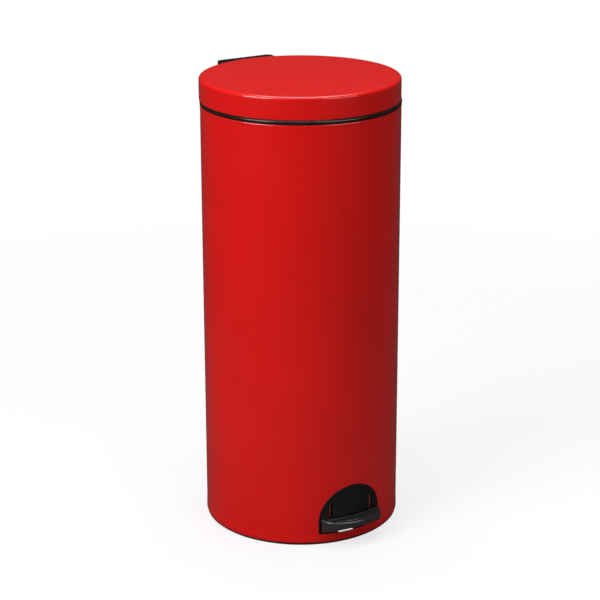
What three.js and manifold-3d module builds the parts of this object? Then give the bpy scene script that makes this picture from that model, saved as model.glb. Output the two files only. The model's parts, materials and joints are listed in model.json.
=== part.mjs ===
// A round pedal bin: painted steel body and lid, black plastic trims, a wedge-shaped
// pedal whose lever lifts a push rod, which swings the lid about a pin behind the body.
//
// Millimetres. +Z is up, the pedal faces -Y, the lid hinge is at +Y, and the origin is
// the middle of the base on the floor.

import * as THREE from 'three';
import { mergeVertices } from 'three/addons/utils/BufferGeometryUtils.js';
import Module from 'manifold-3d';

const wasm = await Module();
wasm.setup();

// ---------------------------------------------------------------- driving dimensions

const GAP = 0.35;               // clearance between pieces that touch or slide
const ROUND = 64;               // sides of the large round pieces
const SMALL = 10;               // sides of pins, rivets and holes

// body
const BODY_R = 146.5;
const SHEET = 0.8;
const BODY_BOTTOM = 3.9;
const BODY_TOP = 640;
const HEM_R = BODY_R + 0.35;    // rolled hem at the foot of the body
const INSIDE_R = BODY_R - SHEET;

// lid
const LID_R = 147.1;
const LID_BOTTOM = 646.65;
const LID_TOP = 680;
const LID_EDGE = 5;             // rounding between the lid's top and its skirt
const LID_SET_BACK = 1.8;       // the lid sits this far towards its hinge

// lid hinge and push rod
const HINGE_Y = 160;
const HINGE_Z = 668;
const HINGE_PIN_R = 2.5;
const ROD_X = 6;
const ROD_Y = 136.5;
const ROD_R = 2.5;
const ROD_TOP = 652;

// pedal opening in the body
const ARCH_R = 52.5;
const ARCH_Z = 37;
const SILL_Z = 16.5;

// pedal
const PEDAL_TOP = 42;
const PEDAL_HALF = 49.5;
const NOSE_Y = -143;            // where the pedal's straight sides become its round nose
const NOSE_LENGTH = 29.6;
const PEDAL_SKIN = 2.6;
const PIVOT_Y = -105;
const PIVOT_Z = 36;
const AXLE_R = 4;

// slots in the panel above the pedal, and the bracket's tabs that stand in them
const SLOT_X = 35;
const SLOT_HALF = 3.2;
const SLOT_Z = [41.5, 63];
const CHEEK = 2.6;              // thickness of the bracket's steel

// shelf, bucket and bail
const SHELF_Z = 95.3;
const BUCKET_FOOT = 97.2;
const BUCKET_TOP = 630;
const BUCKET_R = [126, 130];    // outside radius at the foot and under the rim
const BUCKET_RIM_R = 132.5;
const BAIL_Z = 618;
const BAIL_R = 121;
const BAIL_WIRE_R = 2;

// rear housing
const HOUSING_HALF = 46.5;
const HOUSING_BACK = 170.3;
const HOUSING_TOP = 676.5;
const HOUSING_BOTTOM = 600;
const HOUSING_SKIN = 3;
const LID_SWEEP_R = 151.8;      // the housing stays outside this radius beside the lid

// ---------------------------------------------------------------- materials

function finish(color, roughness, metalness) {
  return new THREE.MeshStandardMaterial({ color, roughness, metalness });
}

const redPaint = () => finish(0xc8201c, 0.35, 0.1);
const redPrimer = () => finish(0x8c1f1c, 0.55, 0.1);
const blackPlastic = () => finish(0x1c1d1f, 0.55, 0);
const bucketPlastic = () => finish(0x2c2e31, 0.6, 0);
const zincSteel = () => finish(0xa9adb0, 0.4, 0.9);
const nylon = () => finish(0xe4e0d4, 0.5, 0);
const rubber = () => finish(0x151515, 0.85, 0);

// ---------------------------------------------------------------- helpers

function signedVolume(vertices, triangles) {
  const at = (i) => new THREE.Vector3().fromArray(vertices, 3 * i);
  let sum = 0;
  for (let t = 0; t < triangles.length; t += 3) {
    sum += at(triangles[t]).dot(at(triangles[t + 1]).cross(at(triangles[t + 2])));
  }
  return sum / 6;
}

// A three.js geometry as a manifold solid, with its faces turned outward.
function solid(geometry) {
  geometry.deleteAttribute('normal');
  geometry.deleteAttribute('uv');
  const merged = mergeVertices(geometry, 1e-4);
  const vertices = merged.attributes.position.array;
  const index = merged.index.array;
  const triangles = [];
  for (let t = 0; t < index.length; t += 3) {
    const [a, b, c] = [index[t], index[t + 1], index[t + 2]];
    if (a !== b && b !== c && c !== a) {
      triangles.push(a, b, c);
    }
  }
  if (signedVolume(vertices, triangles) < 0) {
    triangles.reverse();
  }
  const vertProperties = new Float32Array(vertices);
  const triVerts = new Uint32Array(triangles);
  return new wasm.Manifold(new wasm.Mesh({ numProp: 3, vertProperties, triVerts }));
}

function join(first, ...rest) {
  return rest.reduce((whole, piece) => whole.add(piece), first);
}

function cut(first, ...rest) {
  return rest.reduce((whole, piece) => whole.subtract(piece), first);
}

function piece(name, body, material) {
  const result = body.getMesh();
  const geometry = new THREE.BufferGeometry();
  geometry.setAttribute('position', new THREE.BufferAttribute(result.vertProperties, 3));
  geometry.setIndex(new THREE.BufferAttribute(result.triVerts, 1));
  geometry.computeVertexNormals();
  const mesh = new THREE.Mesh(geometry, material);
  mesh.name = name;
  return mesh;
}

// A solid of revolution about Z from [radius, z] points.
function turned(points, sides = ROUND) {
  const onAxis = points[0][0] === 0 && points[points.length - 1][0] === 0;
  const closed = onAxis ? points : [...points, points[0]];
  const profile = closed.map(([r, z]) => new THREE.Vector2(r, z));
  return solid(new THREE.LatheGeometry(profile, sides).rotateX(Math.PI / 2));
}

function tube(inner, outer, z0, z1, sides = ROUND) {
  return turned([[inner, z0], [outer, z0], [outer, z1], [inner, z1]], sides);
}

function disc(radius, z0, z1, sides = ROUND) {
  return turned([[0, z0], [radius, z0], [radius, z1], [0, z1]], sides);
}

function block(x0, x1, y0, y1, z0, z1) {
  const box = new THREE.BoxGeometry(x1 - x0, y1 - y0, z1 - z0);
  return solid(box.translate((x0 + x1) / 2, (y0 + y1) / 2, (z0 + z1) / 2));
}

function post(radius, x, y, z0, z1, sides = SMALL) {
  const rod = new THREE.CylinderGeometry(radius, radius, z1 - z0, sides).rotateX(Math.PI / 2);
  return solid(rod.translate(x, y, (z0 + z1) / 2));
}

function crossPin(radius, x0, x1, y, z, sides = SMALL) {
  const rod = new THREE.CylinderGeometry(radius, radius, x1 - x0, sides).rotateZ(Math.PI / 2);
  return solid(rod.translate((x0 + x1) / 2, y, z));
}

function depthPin(radius, x, y0, y1, z, sides = SMALL) {
  const rod = new THREE.CylinderGeometry(radius, radius, y1 - y0, sides);
  return solid(rod.translate(x, (y0 + y1) / 2, z));
}

function outline(points) {
  return new THREE.Shape(points.map(([a, b]) => new THREE.Vector2(a, b)));
}

function extruded(shape, depth) {
  return new THREE.ExtrudeGeometry(shape, { depth, bevelEnabled: false, curveSegments: 20 });
}

// An outline of [y, z] points, given thickness along X.
function sideProfile(points, x0, x1) {
  const plate = extruded(outline(points), x1 - x0);
  return solid(plate.rotateX(Math.PI / 2).rotateZ(Math.PI / 2).translate(x0, 0, 0));
}

// An outline drawn in X and Z, reaching from y1 back to y0.
function frontProfile(shape, y0, y1) {
  return solid(extruded(shape, y1 - y0).rotateX(Math.PI / 2).translate(0, y1, 0));
}

// An outline drawn in X and Y, standing from z0 to z1.
function planProfile(shape, z0, z1) {
  return solid(extruded(shape, z1 - z0).translate(0, 0, z0));
}

function wire(path, radius, steps, sides = 8) {
  const section = new THREE.Shape();
  section.absarc(0, 0, radius, 0, 2 * Math.PI);
  const options = { extrudePath: path, steps, bevelEnabled: false, curveSegments: sides / 2 };
  return solid(new THREE.ExtrudeGeometry(section, options));
}

// The door-shaped outline of the pedal opening: straight sides under a half circle.
function archShape(radius, bottom) {
  const shape = new THREE.Shape();
  shape.moveTo(-radius, bottom);
  shape.lineTo(radius, bottom);
  shape.lineTo(radius, ARCH_Z);
  shape.absarc(0, ARCH_Z, radius, 0, Math.PI, false);
  shape.lineTo(-radius, bottom);
  return shape;
}

function archBlock(radius, bottom) {
  return frontProfile(archShape(radius, bottom), -160, -100);
}

// ---------------------------------------------------------------- body and base

const RIVET_R = 2;
const RIVET_HEAD_R = 3.8;
const HOUSING_RIVET_X = 25;
const HOUSING_RIVET_Z = 616;

function bodyShell() {
  const wall = turned([
    [INSIDE_R, BODY_BOTTOM], [BODY_R, BODY_BOTTOM], [HEM_R, 5.5], [HEM_R, 13], [BODY_R, 16],
    [BODY_R, BODY_TOP], [INSIDE_R, BODY_TOP],
  ]);
  const holes = [-HOUSING_RIVET_X, HOUSING_RIVET_X].map(
    (x) => depthPin(RIVET_R + GAP, x, 130, 160, HOUSING_RIVET_Z),
  );
  return cut(wall, archBlock(ARCH_R, SILL_Z), ...holes);
}

function baseRing() {
  return turned([
    [136, 0], [144, 0], [145.9, 1.6], [145.9, 3.5], [145.3, 3.5], [145.3, 13.2],
    [142.5, 13.2], [142.5, 2.8], [136, 2.8],
  ]);
}

function rimRing() {
  return turned([
    [143.3, 628], [INSIDE_R - GAP, 628], [INSIDE_R - GAP, BODY_TOP + GAP], [147.3, BODY_TOP + GAP],
    [147.3, LID_BOTTOM - GAP], [139.6, LID_BOTTOM - GAP], [139.6, 644.3], [143.3, 644.3],
  ]);
}

const PANEL_BACK_R = 143.4;
const PANEL_FACE_R = 146.1;
const PANEL_OPENING_TOP = 38;
const PANEL_OPENING_HALF = 30;

function recessPanel() {
  const backing = tube(PANEL_BACK_R, INSIDE_R - GAP, 10, 100).intersect(archBlock(ARCH_R + 4.3, 14));
  const face = tube(144, PANEL_FACE_R, 10, 100).intersect(archBlock(ARCH_R - GAP, SILL_Z + GAP));
  const opening = block(
    -PANEL_OPENING_HALF, PANEL_OPENING_HALF, -160, -100, 5, PANEL_OPENING_TOP,
  );
  const slots = [-SLOT_X, SLOT_X].map(
    (x) => block(x - SLOT_HALF, x + SLOT_HALF, -160, -100, SLOT_Z[0], SLOT_Z[1]),
  );
  return cut(join(backing, face), opening, ...slots);
}

const BRACKET_HALF = SLOT_X + CHEEK / 2;
const BRACKET_TOP = SHELF_Z - 0.8;
const SHELF_RIVET = { x: 20, y: -108 };

function pivotBracket() {
  const back = -94;
  const front = -138.2;
  const tabFront = -139.8;
  const side = [
    [back, 26], [PIVOT_Y - 11, 26], [PIVOT_Y - 11, 40], [front, 40], [front, SLOT_Z[0] + 1],
    [tabFront, SLOT_Z[0] + 1], [tabFront, SLOT_Z[1] - 1], [front, SLOT_Z[1] - 1],
    [front, BRACKET_TOP], [back, BRACKET_TOP],
  ];
  const cheeks = [-BRACKET_HALF, BRACKET_HALF - CHEEK].map((x) => sideProfile(side, x, x + CHEEK));
  const top = block(-BRACKET_HALF, BRACKET_HALF, -134, back, BRACKET_TOP - CHEEK, BRACKET_TOP);
  const bore = crossPin(AXLE_R + GAP, -50, 50, PIVOT_Y, PIVOT_Z);
  const holes = [-SHELF_RIVET.x, SHELF_RIVET.x].map(
    (x) => post(RIVET_R + GAP, x, SHELF_RIVET.y, BRACKET_TOP - 10, BRACKET_TOP + 5),
  );
  return cut(join(top, ...cheeks), bore, ...holes);
}

function shelfPlate() {
  const outer = INSIDE_R - GAP - 0.1;
  const plate = turned([
    [0, SHELF_Z], [outer, SHELF_Z], [outer, 101.5], [outer - 1.3, 101.5], [outer - 1.3, SHELF_Z + 1.3],
    [0, SHELF_Z + 1.3],
  ]);
  const rodHole = post(5.5, ROD_X, ROD_Y, 90, 100);
  const holes = [-SHELF_RIVET.x, SHELF_RIVET.x].map(
    (x) => post(RIVET_R + GAP, x, SHELF_RIVET.y, 90, 100),
  );
  return cut(plate, rodHole, ...holes);
}

function shelfRivet(x) {
  const y = SHELF_RIVET.y;
  const underTop = BRACKET_TOP - CHEEK;
  return join(
    post(RIVET_R, x, y, underTop - 1.5, SHELF_Z + 2.7),
    post(RIVET_HEAD_R, x, y, underTop - 1.8, underTop - GAP),
    post(RIVET_HEAD_R, x, y, SHELF_Z + 1.3 + GAP, SHELF_Z + 3.0),
  );
}

function rodGuide(z0, z1) {
  const strap = block(ROD_X - 8, ROD_X + 7, 132.8, 144, z0, z1);
  return cut(strap, post(ROD_R + GAP, ROD_X, ROD_Y, z0 - 1, z1 + 1));
}

// A stud on the rim ring that the closed lid settles on.
function lidBuffer(angle) {
  const r = 141.5;
  return post(1.3, r * Math.sin(angle), -r * Math.cos(angle), LID_BOTTOM, 654.6);
}

// ---------------------------------------------------------------- rear hinge housing

function housing() {
  const half = HOUSING_HALF;
  const outerBox = block(-half, half, 100, HOUSING_BACK, HOUSING_BOTTOM, HOUSING_TOP);
  const innerBox = block(
    -half + HOUSING_SKIN, half - HOUSING_SKIN, 90, HOUSING_BACK - HOUSING_SKIN, 590, 690,
  );
  const besideBody = disc(BODY_R + 0.5, 590, 690);
  const besideLid = disc(LID_SWEEP_R, BODY_TOP - 2, 690);
  const walls = cut(outerBox, innerBox, besideBody, besideLid);
  const mountPlate = tube(BODY_R + 0.5, BODY_R + 3, HOUSING_BOTTOM, BODY_TOP - 2);
  const shelf = cut(
    block(-half, half, 100, HOUSING_BACK, BODY_TOP - 4.5, BODY_TOP - 2), disc(BODY_R + 0.5, 590, 690),
  );
  const rearOnly = block(-half, half, 100, 160, HOUSING_BOTTOM, BODY_TOP);
  const bore = crossPin(HINGE_PIN_R + GAP, -60, 60, HINGE_Y, HINGE_Z);
  const holes = [-HOUSING_RIVET_X, HOUSING_RIVET_X].map(
    (x) => depthPin(RIVET_R + GAP, x, 130, 160, HOUSING_RIVET_Z),
  );
  return cut(join(walls, mountPlate.intersect(rearOnly), shelf), bore, ...holes);
}

function housingRivet(x) {
  const shell = Math.sqrt(BODY_R ** 2 - x ** 2);
  const inner = shell - SHEET - 1.1;
  const outer = shell + 4.2;
  return join(
    depthPin(RIVET_R, x, inner - 1, outer + 1, HOUSING_RIVET_Z),
    depthPin(RIVET_HEAD_R, x, inner - 1.6, inner - 0.3, HOUSING_RIVET_Z),
    depthPin(RIVET_HEAD_R, x, outer + 0.2, outer + 1.6, HOUSING_RIVET_Z),
  );
}

// A ring about an axis along X, between the two distances from the middle, on one side of it.
function washer(inner, outer, side, near, far, y, z) {
  const [x0, x1] = [side * near, side * far].sort((a, b) => a - b);
  return cut(crossPin(outer, x0, x1, y, z), crossPin(inner, x0 - 1, x1 + 1, y, z));
}

// ---------------------------------------------------------------- bucket and bail

function bucket() {
  const wall = 2;
  const [foot, top] = BUCKET_R;
  const shell = turned([
    [0, 99.8], [foot - 9, 99.8], [foot - 7, BUCKET_FOOT], [foot, BUCKET_FOOT], [top, BUCKET_TOP - 7],
    [BUCKET_RIM_R, BUCKET_TOP - 7], [BUCKET_RIM_R, BUCKET_TOP], [top - wall, BUCKET_TOP],
    [foot - wall, 102], [0, 102],
  ]);
  return cut(shell, crossPin(BAIL_WIRE_R + GAP, -140, 140, 0, BAIL_Z));
}

// Points of the bail's hoop, to halfAngle on each side of its foremost point.
function hoopPoints(halfAngle, steps) {
  return Array.from({ length: steps + 1 }, (_, i) => {
    const angle = -Math.PI / 2 + halfAngle * ((2 * i) / steps - 1);
    return new THREE.Vector3(BAIL_R * Math.cos(angle), BAIL_R * Math.sin(angle), BAIL_Z);
  });
}

// Half a hoop in front of the bail's pivots, with its ends turned outward through the wall.
function bailPath(reach) {
  const path = new THREE.CurvePath();
  const bend = 5;
  const turn = bend / BAIL_R;
  const onAxis = (x) => new THREE.Vector3(x, 0, BAIL_Z);
  const hoop = hoopPoints(Math.PI / 2 - turn, 24);
  path.add(new THREE.LineCurve3(onAxis(-reach), onAxis(-BAIL_R - bend)));
  path.add(new THREE.QuadraticBezierCurve3(onAxis(-BAIL_R - bend), onAxis(-BAIL_R), hoop[0]));
  path.add(new THREE.CatmullRomCurve3(hoop));
  path.add(new THREE.QuadraticBezierCurve3(hoop.at(-1), onAxis(BAIL_R), onAxis(BAIL_R + bend)));
  path.add(new THREE.LineCurve3(onAxis(BAIL_R + bend), onAxis(reach)));
  return path;
}

function bailWire() {
  return wire(bailPath(BUCKET_R[1] + 1.5), BAIL_WIRE_R, 60, 6);
}

const GRIP_HALF_ANGLE = 0.38;
const GRIP_R = 5;

function bailGrip() {
  const grip = wire(new THREE.CatmullRomCurve3(hoopPoints(GRIP_HALF_ANGLE, 12)), GRIP_R, 10, 10);
  const through = new THREE.CatmullRomCurve3(hoopPoints(1.06 * GRIP_HALF_ANGLE, 12));
  return cut(grip, wire(through, BAIL_WIRE_R + GAP, 16, 6));
}

// ---------------------------------------------------------------- lid

const LID_UNDERSIDE = LID_TOP - SHEET;
const LID_INSIDE_R = LID_R - SHEET;
const LEVER_HALF = 2;           // half the lid lever's thickness
const LEVER_SLOT = { from: 19, to: 33.7, half: 4 };
const KNUCKLE_HALF = 33;
const KNUCKLE_RIVET_X = 25;
const KNUCKLE_RIVET_Z = 658.4;
const KNUCKLE_BACK = 3;
const BARREL_R = 6.2;
const BUSH_R = [HINGE_PIN_R + GAP, 4.1];
const LUG_X = [12, 32];
const PIN_Y = HINGE_Y - LID_SET_BACK;   // the hinge line in the lid's own frame

function lidShell() {
  const corner = (radius) => [0, 1, 2, 3].map((i) => {
    const angle = (Math.PI / 6) * i;
    return [LID_R - LID_EDGE + radius * Math.cos(angle), LID_TOP - LID_EDGE + radius * Math.sin(angle)];
  });
  const profile = [
    [0, LID_TOP], ...corner(LID_EDGE).reverse(), [LID_R, LID_BOTTOM],
    [LID_INSIDE_R, LID_BOTTOM], ...corner(LID_EDGE - SHEET), [0, LID_UNDERSIDE],
  ];
  const notch = block(-12, 12, 120, 160, 640, 673);
  const holes = [-KNUCKLE_RIVET_X, KNUCKLE_RIVET_X].map(
    (x) => depthPin(RIVET_R - 0.2 + GAP, x, 130, 160, KNUCKLE_RIVET_Z),
  );
  return cut(turned(profile), notch, ...holes);
}

// Plastic hoop that covers the skirt's raw edge and lands on the buffers.
function lidInnerRing() {
  const hoop = turned([
    [145, LID_BOTTOM + 0.7], [LID_INSIDE_R - GAP, LID_BOTTOM + 0.7], [LID_INSIDE_R - GAP, 657.2],
    [138.5, 657.2], [138.5, 655.2], [145, 655.2],
  ]);
  const rivetRoom = [-KNUCKLE_RIVET_X, KNUCKLE_RIVET_X].map(
    (x) => block(x - 5.5, x + 5.5, 125, 150, 640, 665),
  );
  return cut(hoop, block(-KNUCKLE_RIVET_X - 1, KNUCKLE_RIVET_X + 1, 120, 160, 640, 665), ...rivetRoom);
}

function hingeKnuckle() {
  const inner = LID_R + GAP;
  const plate = tube(inner, inner + KNUCKLE_BACK, 654, 676)
    .intersect(block(-KNUCKLE_HALF, KNUCKLE_HALF, 100, 160, 650, 680));
  const lugs = [[LUG_X[0], LUG_X[1]], [-LUG_X[1], -LUG_X[0]]].map(([x0, x1]) => {
    const arm = block(x0, x1, 135, PIN_Y, HINGE_Z - BARREL_R, HINGE_Z + BARREL_R);
    return join(arm, crossPin(BARREL_R, x0, x1, PIN_Y, HINGE_Z, 20));
  });
  const leverRoom = block(-LEVER_HALF - 1.5, LEVER_HALF + 1.5, 130, 160, 650, 673.2);
  const holes = [-KNUCKLE_RIVET_X, KNUCKLE_RIVET_X].map(
    (x) => depthPin(RIVET_R - 0.2 + GAP, x, 130, 160, KNUCKLE_RIVET_Z),
  );
  const bore = crossPin(BUSH_R[1] + GAP, -60, 60, PIN_Y, HINGE_Z);
  return cut(join(plate, ...lugs), disc(inner, 640, 690), leverRoom, bore, ...holes);
}

function knuckleRivet(x) {
  const skirt = Math.sqrt(LID_R ** 2 - x ** 2);
  const inner = skirt - SHEET - 1.1;
  const outer = skirt + KNUCKLE_BACK + 1.2;
  const shank = RIVET_R - 0.2;
  return join(
    depthPin(shank, x, inner - 1, outer + 1, KNUCKLE_RIVET_Z),
    depthPin(3.2, x, inner - 1.4, inner - 0.3, KNUCKLE_RIVET_Z),
    depthPin(3.2, x, outer, outer + 1.4, KNUCKLE_RIVET_Z),
  );
}

// The steel crank that the push rod lifts: a hub on the hinge pin, an arm with a slot for
// the rod's hook, and a gusset welded up under the lid.
function lidLever() {
  const half = LEVER_HALF;
  const armAngle = THREE.MathUtils.degToRad(34.25);
  const along = (rho, side) => [
    PIN_Y - rho * Math.cos(armAngle) + side * Math.sin(armAngle),
    HINGE_Z - rho * Math.sin(armAngle) - side * Math.cos(armAngle),
  ];
  const hub = crossPin(7, -half, half, PIN_Y, HINGE_Z, 24);
  const bar = [
    along(0, -5.8), along(34, -5.8), along(36, -4), along(36, 4), along(34, 5.8), along(0, 5.8),
  ];
  const arm = sideProfile(bar, -half, half);
  const gusset = sideProfile([
    along(33, -5), [112, LID_UNDERSIDE - GAP], [140.5, LID_UNDERSIDE - GAP], [143.2, 671.5],
    [PIN_Y, 671.5], along(8, 3),
  ], -half, half);
  const { from, to, half: open } = LEVER_SLOT;
  const slotEnds = [along(from, -open), along(to, -open), along(to, open), along(from, open)];
  const slot = sideProfile(slotEnds, -half - 1, half + 1);
  const bore = crossPin(HINGE_PIN_R + GAP, -half - 1, half + 1, PIN_Y, HINGE_Z);
  return cut(join(hub, arm, gusset), slot, bore);
}

// ---------------------------------------------------------------- pedal

function nosePlan(inset) {
  const half = PEDAL_HALF - inset;
  const shape = new THREE.Shape();
  shape.moveTo(half, -110);
  shape.lineTo(-half, -110);
  shape.lineTo(-half, NOSE_Y);
  shape.absellipse(0, NOSE_Y, half, NOSE_LENGTH - inset, Math.PI, 2 * Math.PI, false, 0);
  shape.lineTo(half, -110);
  return shape;
}

const NECK_HALF = 28;
const NECK_Z = [31.3, 37.2];
const SCREW = { x: 15, y: -130 };

function pedalPlate() {
  const outer = planProfile(nosePlan(0), 20, PEDAL_TOP);
  const hollow = planProfile(nosePlan(PEDAL_SKIN), 10, PEDAL_TOP - PEDAL_SKIN);
  const besideBody = disc(BODY_R + 0.5, 0, 60);
  // the lower rear edge stands further off, to pass the panel when the pedal goes down
  const besidePanel = disc(BODY_R + 2.9, 0, PIVOT_Z);
  // the underside rises from the body towards the nose
  const below = [[-130, 5], [-130, 16.8], [-172.5, 33.1], [-190, 33.1], [-190, 5]];
  const underside = sideProfile(below, -60, 60);
  const plate = cut(outer, hollow, besideBody, besidePanel, underside);
  const neck = block(-NECK_HALF, NECK_HALF, -158, -114, NECK_Z[0], NECK_Z[1]);
  const web = block(-NECK_HALF, NECK_HALF, -158, -149, NECK_Z[0], PEDAL_TOP - 1);
  const holes = [-SCREW.x, SCREW.x].map((x) => post(2.1, x, SCREW.y, 20, 36));
  return cut(join(plate, neck, web), ...holes);
}

const LEVER_REAR = 144.6;
const HUB_R = 8.2;
const HUB_BORE = 5.7;
const HUB_HALF = 32.5;

function pedalLever() {
  const bar = block(-2, 2, PIVOT_Y, LEVER_REAR, PIVOT_Z - 7, PIVOT_Z + 7);
  const hub = crossPin(HUB_R, -HUB_HALF, HUB_HALF, PIVOT_Y, PIVOT_Z, 20);
  const plate = block(-26, 26, -144, PIVOT_Y, 28, 31);
  const bore = crossPin(HUB_BORE, -50, 50, PIVOT_Y, PIVOT_Z, 20);
  const slot = block(-3, 3, ROD_Y - 3.4, ROD_Y + 5.8, PIVOT_Z - 3.1, PIVOT_Z + 3.1);
  const holes = [-SCREW.x, SCREW.x].map((x) => post(2.1, x, SCREW.y, 20, 36));
  return cut(join(bar, hub, plate), bore, slot, ...holes);
}

function pedalScrew(x) {
  return join(
    post(1.75, x, SCREW.y, 27, 35.6),
    post(3.6, x, SCREW.y, 25.6, 28 - GAP),
  );
}

// ---------------------------------------------------------------- push rod

const HOOK_BEND = 4;
const HOOK_END = -8;

// The quarter bend and the short leg by which the rod hooks into a lever's slot.
function rodHook(z, inward) {
  const at = (x, height) => new THREE.Vector3(x, ROD_Y, height);
  const bendTop = z + inward * HOOK_BEND;
  const path = new THREE.CurvePath();
  path.add(new THREE.LineCurve3(at(ROD_X, bendTop + inward), at(ROD_X, bendTop)));
  path.add(new THREE.QuadraticBezierCurve3(at(ROD_X, bendTop), at(ROD_X, z), at(ROD_X - HOOK_BEND, z)));
  path.add(new THREE.LineCurve3(at(ROD_X - HOOK_BEND, z), at(HOOK_END, z)));
  return wire(path, ROD_R, 12, 12);
}

// The rod is one wire, bent over at each end.
function pushRod() {
  const leg = post(ROD_R, ROD_X, ROD_Y, PIVOT_Z + HOOK_BEND, ROD_TOP - HOOK_BEND, 12);
  return join(leg, rodHook(PIVOT_Z, 1), rodHook(ROD_TOP, -1));
}

const SPRING_BOTTOM = 469;
const SPRING_TOP = 555.5;
const SPRING_R = 5.2;
const SPRING_WIRE_R = 0.7;
const SPRING_TURNS = 10;

class Helix extends THREE.Curve {
  getPoint(t) {
    const angle = 2 * Math.PI * SPRING_TURNS * t;
    const low = SPRING_BOTTOM + SPRING_WIRE_R;
    const high = SPRING_TOP - SPRING_WIRE_R;
    return new THREE.Vector3(
      ROD_X + SPRING_R * Math.cos(angle), ROD_Y + SPRING_R * Math.sin(angle), low + (high - low) * t,
    );
  }
}

function returnSpring() {
  return wire(new Helix(), SPRING_WIRE_R, SPRING_TURNS * 8, 6);
}

function rodCollar() {
  return cut(
    post(6.2, ROD_X, ROD_Y, SPRING_BOTTOM - 2.5, SPRING_BOTTOM - 0.5),
    post(ROD_R + GAP, ROD_X, ROD_Y, SPRING_BOTTOM - 4, SPRING_BOTTOM + 1),
  );
}

// ---------------------------------------------------------------- the assembly

const bin = new THREE.Group();
const body = new THREE.Group();
const pedal = new THREE.Group();
const rod = new THREE.Group();
const bail = new THREE.Group();
const lid = new THREE.Group();
lid.position.y = LID_SET_BACK;
bin.add(body, pedal, rod, bail, lid);

body.add(
  piece('body_shell', bodyShell(), redPaint()),
  piece('base_ring', baseRing(), blackPlastic()),
  piece('rim_ring', rimRing(), blackPlastic()),
  piece('recess_panel', recessPanel(), blackPlastic()),
  piece('pivot_bracket', pivotBracket(), redPrimer()),
  piece('shelf_plate', shelfPlate(), zincSteel()),
  piece('shelf_rivet_left', shelfRivet(-SHELF_RIVET.x), zincSteel()),
  piece('shelf_rivet_right', shelfRivet(SHELF_RIVET.x), zincSteel()),
  piece('rod_guide_lower', rodGuide(200, 208), zincSteel()),
  piece('rod_guide_upper', rodGuide(556, 564), zincSteel()),
  piece('hinge_housing', housing(), blackPlastic()),
  piece('housing_rivet_left', housingRivet(-HOUSING_RIVET_X), zincSteel()),
  piece('housing_rivet_right', housingRivet(HOUSING_RIVET_X), zincSteel()),
  piece('hinge_pin', crossPin(HINGE_PIN_R, -49, 49, HINGE_Y, HINGE_Z), zincSteel()),
  piece('pedal_axle', crossPin(AXLE_R, -39.5, 39.5, PIVOT_Y, PIVOT_Z), zincSteel()),
  piece('return_spring', returnSpring(), zincSteel()),
  piece('bucket', bucket(), bucketPlastic()),
);
[-0.9, 0, 0.9].forEach((angle, i) => {
  body.add(piece(`lid_buffer_${i + 1}`, lidBuffer(angle), rubber()));
});
[['left', -1], ['right', 1]].forEach(([name, side]) => {
  const pinClip = washer(HINGE_PIN_R + GAP, 4.8, side, 47, 48, HINGE_Y, HINGE_Z);
  const axleClip = washer(AXLE_R + GAP, 7, side, 36.7, 37.9, PIVOT_Y, PIVOT_Z);
  const knuckleBush = washer(...BUSH_R, side, LUG_X[0] + 0.5, LUG_X[1] - 0.5, PIN_Y, HINGE_Z);
  const pedalBush = washer(AXLE_R + 0.3, HUB_BORE - GAP, side, 20, 32, PIVOT_Y, PIVOT_Z);
  body.add(
    piece(`hinge_pin_clip_${name}`, pinClip, zincSteel()),
    piece(`pedal_axle_clip_${name}`, axleClip, zincSteel()),
  );
  lid.add(
    piece(`knuckle_bush_${name}`, knuckleBush, nylon()),
    piece(`knuckle_rivet_${name}`, knuckleRivet(side * KNUCKLE_RIVET_X), zincSteel()),
  );
  pedal.add(
    piece(`pedal_bush_${name}`, pedalBush, nylon()),
    piece(`pedal_screw_${name}`, pedalScrew(side * SCREW.x), zincSteel()),
  );
});

lid.add(
  piece('lid_shell', lidShell(), redPaint()),
  piece('lid_inner_ring', lidInnerRing(), blackPlastic()),
  piece('hinge_knuckle', hingeKnuckle(), blackPlastic()),
  piece('lid_lever', lidLever(), zincSteel()),
);

pedal.add(
  piece('pedal_plate', pedalPlate(), blackPlastic()),
  piece('pedal_lever', pedalLever(), zincSteel()),
);

rod.add(
  piece('push_rod', pushRod(), zincSteel()),
  piece('rod_collar', rodCollar(), zincSteel()),
  piece('rod_clip_top', washer(ROD_R + GAP, 4.6, -1, 5.6, 6.6, ROD_Y, ROD_TOP), zincSteel()),
  piece('rod_clip_bottom', washer(ROD_R + GAP, 4.6, -1, 5.6, 6.6, ROD_Y, PIVOT_Z), zincSteel()),
);

bail.add(
  piece('bail_wire', bailWire(), zincSteel()),
  piece('bail_grip', bailGrip(), blackPlastic()),
);

export default bin;
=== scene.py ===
import json
import math

import bmesh
import bpy
from mathutils import Matrix, Vector
from mathutils.geometry import delaunay_2d_cdt


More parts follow.
